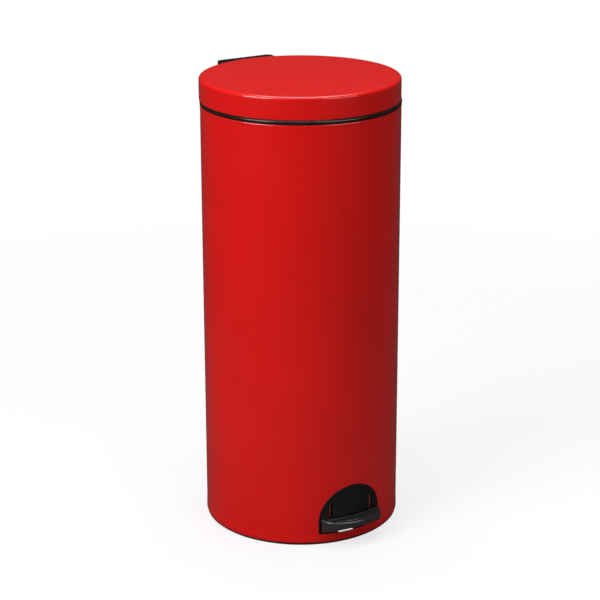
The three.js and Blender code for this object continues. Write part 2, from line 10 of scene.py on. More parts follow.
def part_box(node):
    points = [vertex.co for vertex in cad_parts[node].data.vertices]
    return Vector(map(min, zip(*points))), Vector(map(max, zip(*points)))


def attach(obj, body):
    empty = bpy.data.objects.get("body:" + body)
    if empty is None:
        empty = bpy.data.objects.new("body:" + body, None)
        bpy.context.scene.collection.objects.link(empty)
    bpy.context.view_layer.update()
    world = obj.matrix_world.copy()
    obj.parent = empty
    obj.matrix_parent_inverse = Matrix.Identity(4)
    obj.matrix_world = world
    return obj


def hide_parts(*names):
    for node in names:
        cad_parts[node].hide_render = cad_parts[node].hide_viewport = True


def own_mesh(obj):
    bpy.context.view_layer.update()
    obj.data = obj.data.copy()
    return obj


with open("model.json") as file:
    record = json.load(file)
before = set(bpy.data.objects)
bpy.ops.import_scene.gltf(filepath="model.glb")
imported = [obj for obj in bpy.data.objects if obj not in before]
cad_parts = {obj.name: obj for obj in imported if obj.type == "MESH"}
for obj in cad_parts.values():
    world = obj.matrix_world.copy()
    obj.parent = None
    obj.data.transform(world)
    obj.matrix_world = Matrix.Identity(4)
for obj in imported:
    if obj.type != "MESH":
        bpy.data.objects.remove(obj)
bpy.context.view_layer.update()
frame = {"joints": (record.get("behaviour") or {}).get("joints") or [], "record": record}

# Everything below is written in millimetres in the CAD frame, and becomes metres in place().
MM = 0.001
FINE = 240          # sides of the large round pieces
MEDIUM = 80         # sides of hubs and barrels
COARSE = 40         # sides of pins, rivets and bushes
FEW = 3             # steps in the roundings of small pieces
PAST = 5            # how far a cutting tool reaches past the piece


# ---- measures from the frame

def corners(node):
    low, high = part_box(node)
    return low / MM, high / MM


def joint(name):
    return next(j for j in frame["joints"] if j["name"] == name)


def joint_at(name):
    return Vector(joint(name)["pos_m"]) / MM


BODY_LOW, BODY_HIGH = corners("body_shell")
LID_LOW, LID_HIGH = corners("lid_shell")
BUCKET_LOW, BUCKET_HIGH = corners("bucket")
HOUSING_LOW, HOUSING_HIGH = corners("hinge_housing")
PEDAL_LOW, PEDAL_HIGH = corners("pedal_plate")
PANEL_LOW = corners("recess_panel")[0]
SHELF_LOW, SHELF_HIGH = corners("shelf_plate")
SPRING_LOW, SPRING_HIGH = corners("return_spring")
ROD_LOW, ROD_HIGH = corners("push_rod")
LID_HINGE = joint_at("lid_hinge")
PEDAL_PIVOT = joint_at("pedal_pivot")
BAIL_HINGE = joint_at("bail_hinge")

HEM = 0.35          # how far the body's rolled hem stands out
SHEET = 0.8         # thickness of the painted steel
GAP = 0.35          # air between pieces that touch
BODY_R = BODY_HIGH.x - HEM
BODY_BOTTOM = BODY_LOW.z
BODY_TOP = BODY_HIGH.z
LID_R = (LID_HIGH.x - LID_LOW.x) / 2
LID_Y = (LID_HIGH.y + LID_LOW.y) / 2
PEDAL_SCREW_R = 2.1
PEDAL_SCREW_X = 15.0
PEDAL_SCREW_Y = -130.0
ARCH_R = 52.5
ARCH_Z = 37.0
SILL_Z = 16.5
SLOT_X = 35.0
SLOT_HALF = 3.2
SLOT_Z = (41.5, 63.0)
ROD_R = 2.5
ROD_X = ROD_HIGH.x - ROD_R
ROD_Y = ROD_LOW.y + ROD_R


# ---- outlines

def smooth_step(value, low, high):
    t = min(max((value - low) / (high - low), 0.0), 1.0)
    return t * t * (3 - 2 * t)


def arc(centre, radius, start, end, steps):
    """Points of an arc, with its angles in degrees."""
    x, y = centre
    angles = [math.radians(start + (end - start) * i / steps) for i in range(steps + 1)]
    return [(x + radius * math.cos(a), y + radius * math.sin(a)) for a in angles]


def rounded(points, steps=4):
    """A closed outline of (a, b) or (a, b, radius) corners, with an arc where there is a radius."""
    outline = []
    for i, point in enumerate(points):
        here = Vector(point[:2])
        if len(point) < 3:
            outline.append(tuple(here))
            continue
        back = Vector(points[i - 1][:2]) - here
        ahead = Vector(points[(i + 1) % len(points)][:2]) - here
        half = back.angle(ahead) / 2
        reach = min(point[2] / math.tan(half), 0.49 * back.length, 0.49 * ahead.length)
        start = here + back.normalized() * reach
        middle = back.normalized() + ahead.normalized()
        centre = here + middle.normalized() * reach / math.cos(half)
        end = here + ahead.normalized() * reach
        first = math.atan2(*(start - centre).yx)
        turn = math.atan2(*(end - centre).yx) - first
        turn = (turn + math.pi) % (2 * math.pi) - math.pi
        radius = (start - centre).length
        outline += arc(centre, radius, math.degrees(first), math.degrees(first + turn), steps)
    return outline


# ---- solids

def place(name, vertices, faces):
    mesh = bpy.data.meshes.new(name)
    mesh.from_pydata([Vector(v) * MM for v in vertices], [], faces)
    work = bmesh.new()
    work.from_mesh(mesh)
    bmesh.ops.remove_doubles(work, verts=work.verts, dist=1e-7)
    bmesh.ops.dissolve_degenerate(work, edges=work.edges, dist=1e-8)
    bmesh.ops.recalc_face_normals(work, faces=work.faces)
    work.to_mesh(mesh)
    work.free()
    piece = bpy.data.objects.new(name, mesh)
    bpy.context.scene.collection.objects.link(piece)
    return piece


def skin(loops, closed_ring=True, closed_loop=True):
    """Quads between neighbouring loops of equal length."""
    count = len(loops[0])
    vertices = [v for loop in loops for v in loop]
    faces = []
    for i in range(len(loops) if closed_ring else len(loops) - 1):
        for k in range(count if closed_loop else count - 1):
            a, b = i * count, ((i + 1) % len(loops)) * count
            m = (k + 1) % count
            faces.append((a + k, a + m, b + m, b + k))
    return vertices, faces


AXES = {
    "x": lambda r, h, c, s: (h, r * c, r * s),
    "y": lambda r, h, c, s: (r * c, h, r * s),
    "z": lambda r, h, c, s: (r * c, r * s, h),
}


def turned(profile, sides=COARSE, axis="z", at=(0, 0, 0)):
    """A closed profile of (radius, height) turned about an axis through a point."""
    spot = AXES[axis]
    loops = []
    for i in range(sides):
        angle = 2 * math.pi * i / sides
        c, s = math.cos(angle), math.sin(angle)
        loops.append([Vector(at) + Vector(spot(r, h, c, s)) for r, h in profile])
    return place("turned", *skin(loops))


def bore(radius, low, high, axis="z", at=(0, 0, 0), sides=COARSE):
    """A plain cylinder, to cut with."""
    return turned([(0, low), (radius, low), (radius, high), (0, high)], sides, axis, at)


def pin(radius, low, high, axis, at, edge=0.3, sides=COARSE):
    profile = [(0, low), (radius, low, edge), (radius, high, edge), (0, high)]
    return turned(rounded(profile, FEW), sides, axis, at)


def collar(inner, outer, low, high, axis, at, edge=0.25):
    profile = [(inner, low, edge), (outer, low, edge), (outer, high, edge), (inner, high, edge)]
    return turned(rounded(profile, FEW), COARSE, axis, at)


PLANES = {
    "x": lambda a, b, h: (h, a, b),
    "y": lambda a, b, h: (a, h, b),
    "z": lambda a, b, h: (a, b, h),
}


def prism(outline, axis, low, high):
    """An outline given thickness along an axis."""
    at = PLANES[axis]
    count = len(outline)
    vertices = [at(a, b, low) for a, b in outline] + [at(a, b, high) for a, b in outline]
    faces = [tuple(range(count))[::-1], tuple(range(count, 2 * count))]
    for k in range(count):
        m = (k + 1) % count
        faces.append((k, m, count + m, count + k))
    return place("prism", vertices, faces)


def box_outline(x0, x1, y0, y1, radius):
    return rounded([(x0, y0, radius), (x1, y0, radius), (x1, y1, radius), (x0, y1, radius)])


def holes(radius, x, low, high, axis, y=0.0, z=0.0):
    """Two cylinders to cut with, this far to the left and right."""
    return [bore(radius, low, high, axis, (side * x, y, z)) for side in (-1, 1)]


def cap(radius):
    """The rings of a wire's rounded end, from its tip: their radius and how far out they lie."""
    return [(radius * math.sin(a), radius * math.cos(a) * 0.6) for a in (0.05, 0.5, 1.0)]


def swept(path, thickness, sides):
    """A round wire along a path, its two ends rounded off. Thickness is a radius, or gives one."""
    points = [Vector(p) for p in path]
    count = len(points)
    loops = []
    side = None
    for i, point in enumerate(points):
        radius = thickness(i / (count - 1)) if callable(thickness) else thickness
        ahead = (points[min(i + 1, count - 1)] - points[max(i - 1, 0)]).normalized()
        if side is None:
            side = ahead.orthogonal().normalized()
        side = (side - ahead * side.dot(ahead)).normalized()
        up = ahead.cross(side)
        radii = [(radius, 0.0)]
        if i == 0:
            radii = [(r, -push) for r, push in cap(radius)] + radii
        if i == count - 1:
            radii += cap(radius)[::-1]
        for r, push in radii:
            centre = point + ahead * push
            turns = [2 * math.pi * k / sides for k in range(sides)]
            loops.append([centre + (side * math.cos(a) + up * math.sin(a)) * r for a in turns])
    vertices, faces = skin(loops, closed_ring=False)
    last = len(vertices) - sides
    faces += [tuple(range(sides)), tuple(range(last, last + sides))]
    return place("wire", vertices, faces)


def bend(start, corner, end, steps=6):
    """Points of a curve from start to end, drawn towards the corner."""
    s, c, e = Vector(start), Vector(corner), Vector(end)
    shares = [i / steps for i in range(steps + 1)]
    return [s * (1 - t) ** 2 + c * 2 * t * (1 - t) + e * t * t for t in shares]


def settle(piece):
    """Makes the piece's modifiers part of its mesh."""
    evaluated = piece.evaluated_get(bpy.context.evaluated_depsgraph_get())
    mesh = bpy.data.meshes.new_from_object(evaluated)
    old = piece.data
    piece.modifiers.clear()
    piece.data = mesh
    bpy.data.meshes.remove(old)
    return piece


def combine(piece, others, operation):
    for other in others:
        change = piece.modifiers.new(operation, "BOOLEAN")
        change.operation = operation
        change.solver = "EXACT"
        change.object = other
        bpy.context.view_layer.update()
        settle(piece)
        bpy.data.objects.remove(other)
    return piece


def cut(piece, *others):
    return combine(piece, others, "DIFFERENCE")


def weld(piece, *others):
    return combine(piece, others, "UNION")


def soften(piece, width, segments=2, angle=30):
    """Rounds the sharp edges."""
    change = piece.modifiers.new("soften", "BEVEL")
    change.width = width * MM
    change.segments = segments
    change.limit_method = "ANGLE"
    change.angle_limit = math.radians(angle)
    change.use_clamp_overlap = True
    bpy.context.view_layer.update()
    return settle(piece)


def gather(piece, *others):
    """Several separate solids as one piece."""
    work = bmesh.new()
    for source in (piece, *others):
        work.from_mesh(source.data)
    work.to_mesh(piece.data)
    work.free()
    for other in others:
        bpy.data.objects.remove(other)
    return piece


SLOTS = {part["node"]: part["material_slot"] for part in frame["record"]["subparts"]}


def keep(piece, node, ending, body, angle=32, look=None, name=None):
    """Names the finished piece, paints it and sets it on its body in place of its CAD node."""
    piece.name = f"{name or node}_{ending}"
    piece.data.name = piece.name
    piece.data.shade_smooth()
    piece.data.set_sharp_from_angle(angle=math.radians(angle))
    piece.data.materials.clear()
    piece.data.materials.append(LOOKS[look] if look else FINISHES[SLOTS[node]])
    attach(piece, body)
    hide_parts(node)


# ---- materials

class Nodes:
    """A material's node tree, with short calls for the few nodes that the finishes use."""

    def __init__(self, name, metallic=0.0, specular=0.5):
        self.material = bpy.data.materials.new(name)
        self.material.use_nodes = True
        self.tree = self.material.node_tree
        self.shader = self.tree.nodes["Principled BSDF"]
        self.shader.inputs["Metallic"].default_value = metallic
        self.shader.inputs["Specular IOR Level"].default_value = specular
        self.place = self.add("ShaderNodeTexCoord").outputs["Object"]

    def add(self, kind, **values):
        node = self.tree.nodes.new(kind)
        for key, value in values.items():
            setattr(node, key, value)
        return node

    def link(self, source, target):
        self.tree.links.new(source, target)

    def noise(self, scale, detail=3.0, stretch=(1, 1, 1), distortion=0.0):
        mapping = self.add("ShaderNodeMapping")
        mapping.inputs["Scale"].default_value = stretch
        self.link(self.place, mapping.inputs["Vector"])
        noise = self.add("ShaderNodeTexNoise")
        noise.inputs["Scale"].default_value = scale
        noise.inputs["Detail"].default_value = detail
        noise.inputs["Distortion"].default_value = distortion
        self.link(mapping.outputs["Vector"], noise.inputs["Vector"])
        return noise.outputs["Fac"]

    def ramp(self, source, low, high, from_value=0.0, to_value=1.0):
        node = self.add("ShaderNodeMapRange")
        node.inputs["From Min"].default_value = low
        node.inputs["From Max"].default_value = high
        node.inputs["To Min"].default_value = from_value
        node.inputs["To Max"].default_value = to_value
        self.link(source, node.inputs["Value"])
        return node.outputs["Result"]

    def math(self, operation, first, second):
        node = self.add("ShaderNodeMath", operation=operation)
        for socket, value in zip(node.inputs, (first, second)):
            if isinstance(value, (int, float)):
                socket.default_value = value
            else:
                self.link(value, socket)
        return node.outputs["Value"]

    def mix(self, share, first, second):
        node = self.add("ShaderNodeMix", data_type="RGBA")
        self.link(share, node.inputs["Factor"])
        for socket, value in ((node.inputs["A"], first), (node.inputs["B"], second)):
            if isinstance(value, tuple):
                socket.default_value = (*value, 1.0)
            else:
                self.link(value, socket)
        return node.outputs["Result"]

    def edges(self):
        """1 on sharp outer edges, 0 elsewhere."""
        return self.ramp(self.add("ShaderNodeNewGeometry").outputs["Pointiness"], 0.52, 0.58)

    def facing_up(self):
        """1 on faces that look up, 0 on the others."""
        split = self.add("ShaderNodeSeparateXYZ")
        self.link(self.add("ShaderNodeTexCoord").outputs["Normal"], split.inputs["Vector"])
        return self.ramp(split.outputs["Z"], 0.8, 0.97)

    def bump(self, source, strength, distance, under=None):
        node = self.add("ShaderNodeBump")
        node.inputs["Strength"].default_value = strength
        node.inputs["Distance"].default_value = distance
        self.link(source, node.inputs["Height"])
        if under is not None:
            self.link(under, node.inputs["Normal"])
        return node.outputs["Normal"]

    def finish(self, colour, roughness, normal):
        self.link(colour, self.shader.inputs["Base Color"])
        self.link(roughness, self.shader.inputs["Roughness"])
        self.link(normal, self.shader.inputs["Normal"])
        return self.material


def shade(colour, factor):
    return tuple(c * factor for c in colour)


PAINT_COAT = 0.7
PAINT_COAT_ROUGHNESS = 0.06

# The noise values between which a pattern comes in.
SOFTLY = (0.3, 0.7)
CLEARLY = (0.35, 0.65)


def paint(name, colour, roughness, specular):
    """Baked paint under a clear coat: a faint orange peel, soft clouds of tone and of gloss."""
    n = Nodes(name, specular=specular)
    n.shader.inputs["Coat Weight"].default_value = PAINT_COAT
    n.shader.inputs["Coat Roughness"].default_value = PAINT_COAT_ROUGHNESS
    clouds = n.ramp(n.noise(7, 2), *CLEARLY)
    base = n.mix(clouds, shade(colour, 0.965), shade(colour, 1.02))
    gloss = n.ramp(n.noise(22, 5), *SOFTLY, roughness - 0.03, roughness + 0.05)
    peel = n.bump(n.noise(420, 2), 0.05, 0.0002)
    peel = n.bump(n.noise(1500, 2), 0.03, 0.0001, peel)
    return n.finish(base, gloss, peel)


def plastic(name, colour, roughness, specular, grain=1900, relief=0.22, rub=2.6, scratch=0.3,
            painted_top_shade=1.0):
    """Moulded plastic: fine spark-eroded grain, uneven sheen, greyed edges, hairline scratches.

    Grain is the relief's scale and rub is the tone of worn edges. The last argument is painted shade:
    the tone given to the faces that look up. Both are shares of the colour.
    """
    n = Nodes(name, specular=specular)
    base = n.mix(n.ramp(n.noise(30, 4), *CLEARLY), shade(colour, 0.85), shade(colour, 1.15))
    rubbed = n.math("MULTIPLY", n.edges(), n.ramp(n.noise(90, 4), *CLEARLY, 0.25, 1.0))
    base = n.mix(n.math("MULTIPLY", rubbed, 0.55), base, shade(colour, rub))
    hair = n.ramp(n.noise(140, 3, stretch=(1, 0.12, 1.5), distortion=1.2), 0.68, 0.74)
    base = n.mix(n.math("MULTIPLY", hair, scratch), base, shade(colour, rub))
    # Painted shade: the faces that look up are darkened by a fixed share of the colour.
    if painted_top_shade != 1.0:
        base = n.mix(n.facing_up(), base, shade(colour, painted_top_shade))
    gloss = n.ramp(n.noise(60, 4), *SOFTLY, roughness - 0.05, roughness + 0.07)
    grains = n.bump(n.noise(grain, 3), relief, 0.0003)
    return n.finish(base, gloss, n.bump(hair, scratch / 3, 0.0001, grains))


def plated(name, colour, roughness):
    """Zinc-plated steel: drawn streaks, cloudy plating and dull spots."""
    n = Nodes(name, metallic=1.0)
    base = n.mix(n.ramp(n.noise(120, 5), *CLEARLY), shade(colour, 0.72), colour)
    spots = n.ramp(n.noise(300, 4), 0.62, 0.7)
    base = n.mix(n.math("MULTIPLY", spots, 0.35), base, shade(colour, 0.4))
    drawn = n.noise(240, 5, stretch=(1, 1, 0.1))
    gloss = n.ramp(drawn, *SOFTLY, roughness - 0.08, roughness + 0.12)
    streaks = n.bump(n.noise(1400, 4, stretch=(1, 1, 0.06)), 0.12, 0.0002)
    return n.finish(base, gloss, streaks)


def elastomer(name, colour, roughness):
    """Rubber or nylon: matt, slightly mottled, a soft bump."""
    n = Nodes(name, specular=0.35)
    base = n.mix(n.ramp(n.noise(220, 4), *CLEARLY), shade(colour, 0.82), shade(colour, 1.08))
    gloss = n.ramp(n.noise(150, 3), *SOFTLY, roughness - 0.06, roughness + 0.06)
    return n.finish(base, gloss, n.bump(n.noise(900, 3), 0.15, 0.0002))


# A finish's own numbers are its colour, its roughness and how much it mirrors.
FINISHES = {
    "red_paint": paint("red_paint", (0.7, 0.0058, 0.0042), 0.3, 0.25),
    "red_primer": paint("red_primer", (0.27, 0.022, 0.026), 0.5, 0.3),
    "black_plastic": plastic("black_plastic", (0.0095, 0.0098, 0.0108), 0.42, 0.3),
    "bucket_plastic": plastic("bucket_plastic", (0.028, 0.029, 0.032), 0.5, 0.35, grain=1200,
                              rub=1.8),
    "zinc_steel": plated("zinc_steel", (0.62, 0.63, 0.65), 0.34),
    "nylon": elastomer("nylon", (0.72, 0.69, 0.6), 0.45),
    "rubber": elastomer("rubber", (0.014, 0.014, 0.014), 0.75),
}

# Finishes of single pieces that differ a little from their slot's.
LOOKS = {
    # The pedal's colour is lighter than the black plastic's, painted light on its front faces, and its
    # faces that look up are darkened to 0.55 of it, painted shade.
    "pedal": plastic("black_plastic_pedal", (0.029, 0.0265, 0.028), 0.22, 0.8, relief=0.04,
                     rub=1.5, scratch=0.03, painted_top_shade=0.55),
    "band": plastic("black_plastic_band", (0.013, 0.0085, 0.008), 0.2, 0.6, relief=0.08),
}


# ---- body shell

# Round the pedal opening the wall is built apart, up to this height and out to this angle.
PATCH_TOP = 112.0
PATCH_ANGLE = 27.0
STEP_ANGLE = 360.0 / FINE
ACROSS = round(2 * PATCH_ANGLE / STEP_ANGLE)
PATCH_HALF = math.radians(PATCH_ANGLE)
SWEEP = [PATCH_HALF * (2 * k / ACROSS - 1) for k in range(ACROSS + 1)]
PATCH_RINGS = 14
BEAD = 0.3


def wall_radius(z):
    """The wall's outer radius at a height: a rolled hem at the foot, a small bead under the rim."""
    top = BODY_TOP
    hem = smooth_step(z, BODY_BOTTOM, BODY_BOTTOM + 1.2) * (1 - smooth_step(z, 12.5, 15.5))
    bead = smooth_step(z, top - 4.5, top - 2.6) * (1 - smooth_step(z, top - 1.6, top))
    return BODY_R + HEM * hem + BEAD * bead


def wall_point(angle, z, depth):
    r = wall_radius(z) - depth
    return Vector((r * math.sin(angle), -r * math.cos(angle), z))


def arch_outline():
    """The pedal opening from the front: (x, z), counterclockwise from the foot's left corner."""
    r = ARCH_R
    return rounded([(-r, SILL_Z, 2), (r, SILL_Z, 2)] + arc((0, ARCH_Z), r, 0, 180, 48))


def resample(points, starts, counts):
    """Cuts a closed outline at the points nearest to starts, and spaces each stretch evenly."""
    loop = [Vector(p) for p in points]
    first = [min(range(len(loop)), key=lambda k: (loop[k] - Vector(s)).length) for s in starts]
    result = []
    for i, count in enumerate(counts):
        a, b = first[i], first[(i + 1) % len(first)]
        run = [loop[k % len(loop)] for k in range(a, b + 1 if b > a else b + len(loop) + 1)]
        lengths = [0.0]
        for p, q in zip(run, run[1:]):
            lengths.append(lengths[-1] + (q - p).length)
        for k in range(count):
            want = lengths[-1] * k / count
            j = max(m for m in range(len(run) - 1) if lengths[m] <= want)
            t = (want - lengths[j]) / max(lengths[j + 1] - lengths[j], 1e-9)
            result.append(run[j].lerp(run[j + 1], t))
    return result


def opening_patch(heights):
    """The wall round the pedal opening: loops from its edge to the patch's border, in (angle, z)."""
    r = ARCH_R * math.sqrt(0.5)
    starts = [(-ARCH_R, SILL_Z), (ARCH_R, SILL_Z), (r, ARCH_Z + r), (-r, ARCH_Z + r)]
    rise = len(heights) - 1
    edge = resample(arch_outline(), starts, [ACROSS, rise, ACROSS, rise])
    border = [Vector((a, heights[0])) for a in SWEEP[:-1]]
    border += [Vector((PATCH_HALF, z)) for z in heights[:-1]]
    border += [Vector((a, heights[-1])) for a in SWEEP[:0:-1]]
    border += [Vector((-PATCH_HALF, z)) for z in heights[:0:-1]]
    count = len(edge)
    outward = []
    for k in range(count):
        along = edge[(k + 1) % count] - edge[k - 1]
        outward.append(Vector((along.y, -along.x)).normalized())

    def ring(offset, share):
        loop = []
        for k in range(count):
            p = edge[k] + outward[k] * offset
            near = Vector((math.asin(p.x / BODY_R), p.y))
            loop.append(near.lerp(border[k], share))
        return loop
    return ring


def body_skin():
    heights = [BODY_BOTTOM + 0.3, 5.2, 7, 9.5, 12.5, 13.5, 14.5, 15.5, 17.5, 20.5, 24.5, 29, 34, 39, 44,
               50, 56, 62, 68, 75, 82, 89, 96, 104, PATCH_TOP]
    upper = [PATCH_TOP + (BODY_TOP - 5 - PATCH_TOP) * (k + 1) / 22 for k in range(22)]
    upper += [BODY_TOP - t for t in (4.5, 4.0, 3.5, 3.0, 2.6, 2.0, 1.6, 1.2, 0.8, 0.3)]
    rim = [(BODY_TOP - 0.08, 0.1), (BODY_TOP, 0.3), (BODY_TOP, 0.5), (BODY_TOP - 0.08, SHEET - 0.1)]
    foot = [(BODY_BOTTOM + 0.08, SHEET - 0.1), (BODY_BOTTOM, 0.5), (BODY_BOTTOM, 0.3),
            (BODY_BOTTOM + 0.08, 0.1)]
    outside = [(z, 0.0) for z in heights + upper]
    inside = [(z, SHEET) for z in (heights + upper)[::-1]]
    section = outside + rim + inside + foot
    round_wall = [
        [wall_point(math.radians(PATCH_ANGLE + STEP_ANGLE * i), z, depth) for z, depth in section]
        for i in range(FINE - ACROSS + 1)
    ]
    vertices, faces = skin(round_wall, closed_ring=False)

    def add(loops, closed_loop=True):
        more, quads = skin(loops, closed_ring=False, closed_loop=closed_loop)
        faces.extend(tuple(len(vertices) + k for k in quad) for quad in quads)
        vertices.extend(more)

    over = [(PATCH_TOP, 0.0)] + [(z, 0.0) for z in upper] + rim
    over += [(z, SHEET) for z in upper[::-1]] + [(PATCH_TOP, SHEET)]
    add([[wall_point(a, z, depth) for z, depth in over] for a in SWEEP], closed_loop=False)
    under = [(heights[0], SHEET)] + foot + [(heights[0], 0.0)]
    add([[wall_point(a, z, depth) for z, depth in under] for a in SWEEP], closed_loop=False)

    ring = opening_patch(heights)
    blend = [k / PATCH_RINGS for k in range(1, PATCH_RINGS + 1)]
    lip = [(0.0, SHEET - 0.25), (0.0, 0.3), (0.09, 0.09), (0.3, 0.0)]
    loops = [[wall_point(a, z, SHEET) for a, z in ring(0.8, s)] for s in blend[::-1]]
    loops += [[wall_point(a, z, SHEET) for a, z in ring(e, 0)] for e in (0.8, 0.25)]
    loops += [[wall_point(a, z, d) for a, z in ring(e, 0)] for e, d in lip]
    loops += [[wall_point(a, z, 0) for a, z in ring(0.8, s)] for s in [0.0] + blend]
    add(loops)
    shell = place("body", vertices, faces)
    keep(shell, "body_shell", "painted", "bin", angle=50)


# ---- rings

def base_ring_skin():
    high = corners("base_ring")[1]
    r = high.x
    profile = rounded([
        (136, 0, 0.6), (r - 1.9, 0, 0.9), (r, 1.6, 0.5), (r, 3.5, 0.3), (r - 0.6, 3.5),
        (r - 0.6, high.z, 0.4), (r - 3.4, high.z, 0.4), (r - 3.4, 2.8, 0.3), (136, 2.8, 0.5),
    ])
    ring = turned(profile, FINE)
    keep(ring, "base_ring", "moulded", "bin")


BAND_SEAM = -25.0       # where the band's two ends meet, in degrees from the front
BAND_SEAM_WIDTH = 1.4


def rim_band_skin():
    low, high = corners("rim_ring")
    r = high.x
    inner = BODY_R - SHEET - GAP
    bottom = BODY_TOP + GAP
    profile = rounded([
        (143.3, low.z, 0.3), (inner, low.z, 0.5), (inner, bottom), (r - 1.5, bottom, 0.2),
        (r - 1.1, bottom + 0.9, 0.3), (r - 0.25, bottom + 1.2, 0.5), (r, bottom + 3.0, 3.0),
        (r - 0.3, high.z - 1.2, 0.6), (r - 1.2, high.z - 0.7, 0.3), (r - 1.7, high.z, 0.2),
        (139.6, high.z, 0.5), (139.6, 644.3, 0.4), (143.3, 644.3, 0.3),
    ])
    band = turned(profile, FINE)
    a = math.radians(BAND_SEAM)
    out = Vector((math.sin(a), -math.cos(a), 0))
    across = Vector((out.y, -out.x, 0)) * BAND_SEAM_WIDTH / 2
    near, far = out * (r - 1.9), out * (r + 2)
    ends = [near - across, far - across, far + across, near + across]
    cut(band, prism([(p.x, p.y) for p in ends], "z", bottom - 0.1, high.z + 1))
    keep(band, "rim_ring", "moulded", "bin", look="band", name="rim_band")


# ---- lid

LID_EDGE = 4.2
LID_CROWN = 0.4


def lid_skin():
    top = LID_HIGH.z
    low = LID_LOW.z
    flat = LID_R - LID_EDGE
    steps = 10
    crown = [(flat * k / steps, top - LID_CROWN * (k / steps) ** 2) for k in range(steps + 1)]
    edge = arc((flat, top - LID_CROWN - LID_EDGE), LID_EDGE, 84, 0, 14)
    skirt = [(LID_R, top - 12), (LID_R, top - 20), (LID_R, low + 4), (LID_R, low + 0.8)]
    hem = arc((LID_R - 0.75, low + 0.75), 0.75, 0, -180, 8)
    inner_r = LID_R - SHEET - 0.7
    inside = [(inner_r, low + 2.4), (LID_R - SHEET, low + 3.2), (LID_R - SHEET, top - 12)]
    under_edge = arc((flat, top - LID_CROWN - LID_EDGE), LID_EDGE - SHEET, 0, 84, 8)
    under = [(r, z - SHEET) for r, z in crown[::-1][1:]]
    profile = crown + edge + skirt + hem + inside + under_edge + under
    shell = turned(profile, FINE, at=(0, LID_Y, 0))
    cut(shell, prism(box_outline(-12, 12, 630, 673, 3), "y", 120, 160))
    keep(shell, "lid_shell", "painted", "lid", angle=40)


# ---- pedal opening panel

def front_plate(outline, holes, radius, thickness, spacing=3.0):
    """A plate in the round wall: its outline and holes are seen from the front, in (x, z)."""
    loops = [outline] + holes
    points, edges = [], []
    for loop in loops:
        first = len(points)
        points += [Vector(p) for p in loop]
        edges += [(first + k, first + (k + 1) % len(loop)) for k in range(len(loop))]

    def inside(p, loop):
        hit = False
        for (x0, z0), (x1, z1) in zip(loop, loop[1:] + loop[:1]):
            if (z0 > p[1]) != (z1 > p[1]) and p[0] < (x1 - x0) * (p[1] - z0) / (z1 - z0) + x0:
                hit = not hit
        return hit

    def in_plate(p):
        return inside(p, outline) and not any(inside(p, hole) for hole in holes)

    low = [min(p[k] for p in outline) for k in (0, 1)]
    high = [max(p[k] for p in outline) for k in (0, 1)]
    border = [Vector(p) for loop in loops for p in loop]
    z = low[1] + spacing / 2
    while z < high[1]:
        x = low[0] + spacing / 2
        while x < high[0]:
            p = Vector((x, z))
            if in_plate(p) and min((p - b).length for b in border) > spacing * 0.45:
                points.append(p)
            x += spacing
        z += spacing
    flat, _, triangles, _, _, _ = delaunay_2d_cdt(points, edges, [], 0, 1e-5)
    faces = [t for t in triangles if in_plate(sum((flat[k] for k in t), Vector((0, 0))) / 3)]
    vertices = [(p.x, -math.sqrt(radius ** 2 - p.x ** 2), p.y) for p in flat]
    mesh = bpy.data.meshes.new("plate")
    mesh.from_pydata([Vector(v) * MM for v in vertices], [], faces)
    piece = bpy.data.objects.new("plate", mesh)
    bpy.context.scene.collection.objects.link(piece)
    work = bmesh.new()
    work.from_mesh(mesh)
    bmesh.ops.delete(work, geom=[v for v in work.verts if not v.link_faces], context="VERTS")
    for face in work.faces:
        if face.normal.y > 0:
            face.normal_flip()
    work.to_mesh(mesh)
    work.free()
    thicken = piece.modifiers.new("thicken", "SOLIDIFY")
    thicken.thickness = thickness * MM
    thicken.offset = -1
    bpy.context.view_layer.update()
    return settle(piece)


def slot_outline(x):
    return box_outline(x - SLOT_HALF, x + SLOT_HALF, SLOT_Z[0], SLOT_Z[1], 0.8)


PANEL_OPENING = (30.0, 38.0)     # its half width and its top
BEZEL_R = 0.75


def panel_outline(inset, bottom):
    """The panel from the front: an arch, with an opening in its foot for the pedal's neck."""
    r = ARCH_R - inset
    half, top = PANEL_OPENING
    foot = [(-r, bottom), (-half, bottom), (-half, top, 2), (half, top, 2), (half, bottom),
            (r, bottom)]
    return rounded(foot) + arc((0, ARCH_Z), r, 0, 180, 44)


def bezel_path(inset, radius):
    r = ARCH_R - inset
    curve = [(r, SILL_Z + 1.5 + 3 * k) for k in range(7)] + arc((0, ARCH_Z), r, 0, 180, 60)
    curve += [(-r, SILL_Z + 19.5 - 3 * k) for k in range(7)]
    return [(x, -math.sqrt(radius ** 2 - x ** 2), z) for x, z in curve]


def panel_skin():
    slots = [slot_outline(-SLOT_X), slot_outline(SLOT_X)]
    face = front_plate(panel_outline(GAP + 0.25, SILL_Z + GAP), slots, BODY_R - 0.7, 2.2)
    soften(face, 0.35)
    flange = front_plate(panel_outline(-4.0, PANEL_LOW.z), slots, BODY_R - SHEET - GAP, 1.6, 4.0)
    bezel = swept(bezel_path(GAP + BEZEL_R, BODY_R - 0.4), BEZEL_R, 14)
    gather(face, flange, bezel)
    keep(face, "recess_panel", "moulded", "bin")


# ---- pedal

NOSE_Y = -143.0
NOSE_STEPS = 96
STAND_BELOW = 2.9       # the back's lower part stands this far off the body, to pass the panel
PEDAL_WALL = 2.4
PEDAL_EDGE = 2.4
UNDERSIDE = ((-130.0, 16.8), (-172.5, 33.1))


